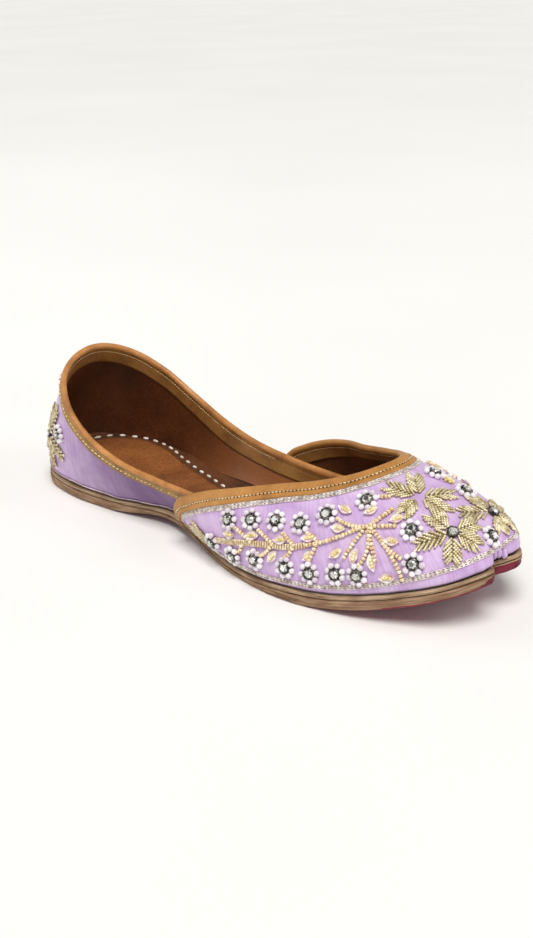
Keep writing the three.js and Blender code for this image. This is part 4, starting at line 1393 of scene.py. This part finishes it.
def goldFlower(name, centre, tips, tree, stoneSize, seed):
    setup = goldSetup
    rng = np.random.default_rng(seed)
    places, along, across, up = flowerFrames(np.array([centre], float), tree)
    place, normal = places[0], up[0]
    starts, ends, padStarts, padEnds = [], [], [], []
    for tip in tips:
        reach = np.array(tip, float) - place
        reach -= (reach @ normal) * normal
        length = np.linalg.norm(np.array(tip, float) - place)
        way = reach / np.linalg.norm(reach)
        cross = np.cross(normal, way)
        padStarts.append(place + way * setup["coreRadius"])
        padEnds.append(place + way * (length - 1.5))
        for flank in (-1, 1):
            for k in range(setup["tubes"]):
                f = (k + (0.3 if flank > 0 else 0)) / setup["tubes"]
                root = setup["coreRadius"] + f * (length - setup["coreRadius"] - 2.2)
                slant = math.radians(setup["slant"] * (1 - 0.45 * f ** 2) + rng.uniform(-3, 3))
                size = setup["tubeLength"] * (0.6 + 0.4 * math.sin(math.pi * min(1, 0.2 + 0.72 * f)))
                base = place + way * root + cross * flank * 0.2
                starts.append(base)
                ends.append(base + size * (way * math.cos(slant) + cross * flank * math.sin(slant)))
    a, b = onSilk(tree, np.array(starts))[0], onSilk(tree, np.array(ends))[0]
    origins, x, y, z = framesBetween(tree, a, b, setup["tubeRadius"] * 0.9)
    origins = origins + z * np.where(np.arange(len(a)) % 2, 0.0, 0.16)[:, None]
    radius = setup["tubeRadius"] * rng.uniform(0.94, 1.04, len(a))
    sizes = np.column_stack([np.linalg.norm(b - a, axis=1), radius, radius])
    x = unit(x + z * 0.07)
    z = np.cross(x, y)
    addPiece(name, *stamped(coil, origins, x, y, z, sizes), goldWire, "metal_thread")
    # painted shade: dark padding under each petal, for the shade between the coils
    row = framesBetween(tree, onSilk(tree, np.array(padStarts))[0], onSilk(tree, np.array(padEnds))[0], 0.2)
    share, half, thick = setup["padding"]
    pads = []
    for k in range(len(tips)):
        size = (share * np.linalg.norm(padEnds[k] - padStarts[k]), half, thick)
        pads.append(placedRow(ball, [part[k:k + 1] for part in row], size))
    addPiece(name + "Padding", *joined(pads), paddingThread, "thread")
    if stoneSize:
        radii = setup["settingRadius"] * stoneSize, setup["stoneRadius"] * stoneSize
        settings(name, places, along, across, up, *radii, rng)


def heelPlace(distance, height):
    return quarterSurface.point(*quarterSurface.locate(distance, height))


for k, (centre, tips, stoneSize) in enumerate(goldSetup["toe"]):
    goldFlower("toeGoldFlower" + "ABC"[k], centre, tips, vampTree, stoneSize, 70 + k)
for k, (centre, tips) in enumerate(goldSetup["heel"]):
    tips = [heelPlace(*tip) for tip in tips]
    goldFlower("heelGoldFlower" + "ABC"[k], heelPlace(*centre), tips, quarterTree, 0.7, 80 + k)
for side, label in sides:
    centre, tip = goldSetup["wing"]
    goldFlower(label + "WingGold", vampPlace(*centre, side), [vampPlace(*tip, side)], vampTree, 0, 90)
heelPearls = [(-45, 26), (45, 26), (-19, 46), (19, 46), (0, 14)]
pearlFlowers("heelFlower", [heelPlace(*place) for place in heelPearls], quarterTree, 43)


# A few amber bugle beads in a fan on the far side of the toe.
def amberFan():
    centre = np.array([216.0, 9.5, 46.0])
    angles = np.radians([-60, -30, 0, 30, 60])
    ways = np.stack([np.cos(angles), -0.35 + 0.5 * np.sin(angles), -0.2 + 0 * angles], -1)
    starts, ends = centre + ways * 1.2, centre + ways * 5.2
    frames = framesBetween(vampTree, onSilk(vampTree, starts)[0], onSilk(vampTree, ends)[0], 0.75)
    addPiece("amberFan", *placedRow(coil, frames, (3.8, 0.7, 0.7), 0.05, 33), yellowGlass, "seed_bead")


amberFan()


# The silk is pinched together where it goes down into the notch of the toe.
def notchGather():
    rng = np.random.default_rng(6)
    u, t = np.array([0.497, 0.503, 0.5, 0.499, 0.494]), np.array([0.1, 0.12, 0.04, 0.2, 0.07])
    wall = vampSurface.point(u, t)
    place = wall + vampSurface.outward(u, t) * 0.2
    lean = unit(vampSurface.point(u, t + 0.05) - wall)
    side = unit(np.cross(lean, (0.3, 1.0, 0.1)))
    sizes = np.array([(2.2, 1.4, 1.0), (2.1, 1.3, 0.9), (1.4, 1.6, 1.1), (2.2, 1.3, 0.8), (1.8, 1.3, 0.9)])
    sizes *= rng.uniform(0.92, 1.08, (5, 1))
    verts, faces = stamped(ballShape(14, 24), place, lean, side, np.cross(lean, side), sizes)
    verts = verts + 0.12 * unevenness(verts, 2.2, 8)[:, None]
    flat = np.stack([verts[:, 1] * 3, verts[:, 2]], -1)
    addPiece("notchGather", verts, faces, silk, "silk", flatUv=flat)


notchGather()
print("gold flowers sewn")


# The floor is pale and plain, under a soft wide key light and two soft lamps.
def addFloor():
    size, cells = 40.0, 24
    side = np.linspace(-size, size, cells)
    x, y = np.meshgrid(side, side, indexing="ij")
    mesh = bpy.data.meshes.new("floor")
    verts = np.stack([x, y, np.zeros_like(x)], -1).reshape(-1, 3)
    mesh.from_pydata(verts.tolist(), [], gridFaces(cells, cells).tolist())
    material, tree, shader = startMaterial("paperBackdropMatt", {"Roughness": 0.9, "Specular IOR Level": 0.2})
    place = addNode(tree, "ShaderNodeTexCoord").outputs["Object"]
    mottle = addNode(tree, "ShaderNodeTexNoise", {"Scale": 3.0, "Detail": 2.0}, {"Vector": place})
    colour = addNode(tree, "ShaderNodeValToRGB", links={0: mottle.outputs[0]},
                     ramp=[(0.3, "#F1F0EE"), (0.7, "#F5F4F2")])
    tree.links.new(colour.outputs[0], shader.inputs["Base Color"])
    mesh.materials.append(material)
    floor = bpy.data.objects.new("floor", mesh)
    bpy.context.scene.collection.objects.link(floor)


lightSetup = {
    "world": [(0.0, "#F9F9F7"), (0.15, "#F9F9F7"), (0.4, "#7E7E7E")],  # from the horizon up
    # place, aim, angle, strength, colour
    "key": ((0.45, -0.45, 1.3), (0.03, 0, 0.02), 0.55, 2.55, "#FFFDF9"),
    "lamps": [
        # place, aim, width, power, colour
        ((-1.1, -0.5, 0.8), (-0.08, 0, 0.03), 0.8, 2.6, "#F8FAFF"),
        ((1.0, 0.5, 0.9), (0.05, 0, 0.03), 0.7, 2.8, "#FFFFFF"),
    ],
}


def addLamp(name, kind, place, aim, power, colour):
    data = bpy.data.lights.new(name, kind)
    data.energy = power
    data.color = linear(colour)[:3]
    lamp = bpy.data.objects.new(name, data)
    lamp.location = place
    lamp.rotation_euler = (Vector(aim) - Vector(place)).to_track_quat("-Z", "Y").to_euler()
    bpy.context.scene.collection.objects.link(lamp)
    return data


def addLights(setup):
    place, aim, angle, strength, colour = setup["key"]
    addLamp("key", "SUN", place, aim, strength, colour).angle = angle
    for k, (place, aim, width, power, colour) in enumerate(setup["lamps"]):
        data = addLamp("lamp" + str(k), "AREA", place, aim, power, colour)
        data.shape = "DISK"
        data.size = width
    world = bpy.data.worlds.new("studio")
    world.use_nodes = True
    tree = world.node_tree
    place = addNode(tree, "ShaderNodeTexCoord").outputs["Generated"]
    upward = addNode(tree, "ShaderNodeSeparateXYZ", links={0: place})
    sky = addNode(tree, "ShaderNodeValToRGB", links={0: upward.outputs[2]}, ramp=setup["world"])
    tree.links.new(sky.outputs[0], tree.nodes["Background"].inputs["Color"])
    bpy.context.scene.world = world


addFloor()
addLights(lightSetup)
print("stage set")
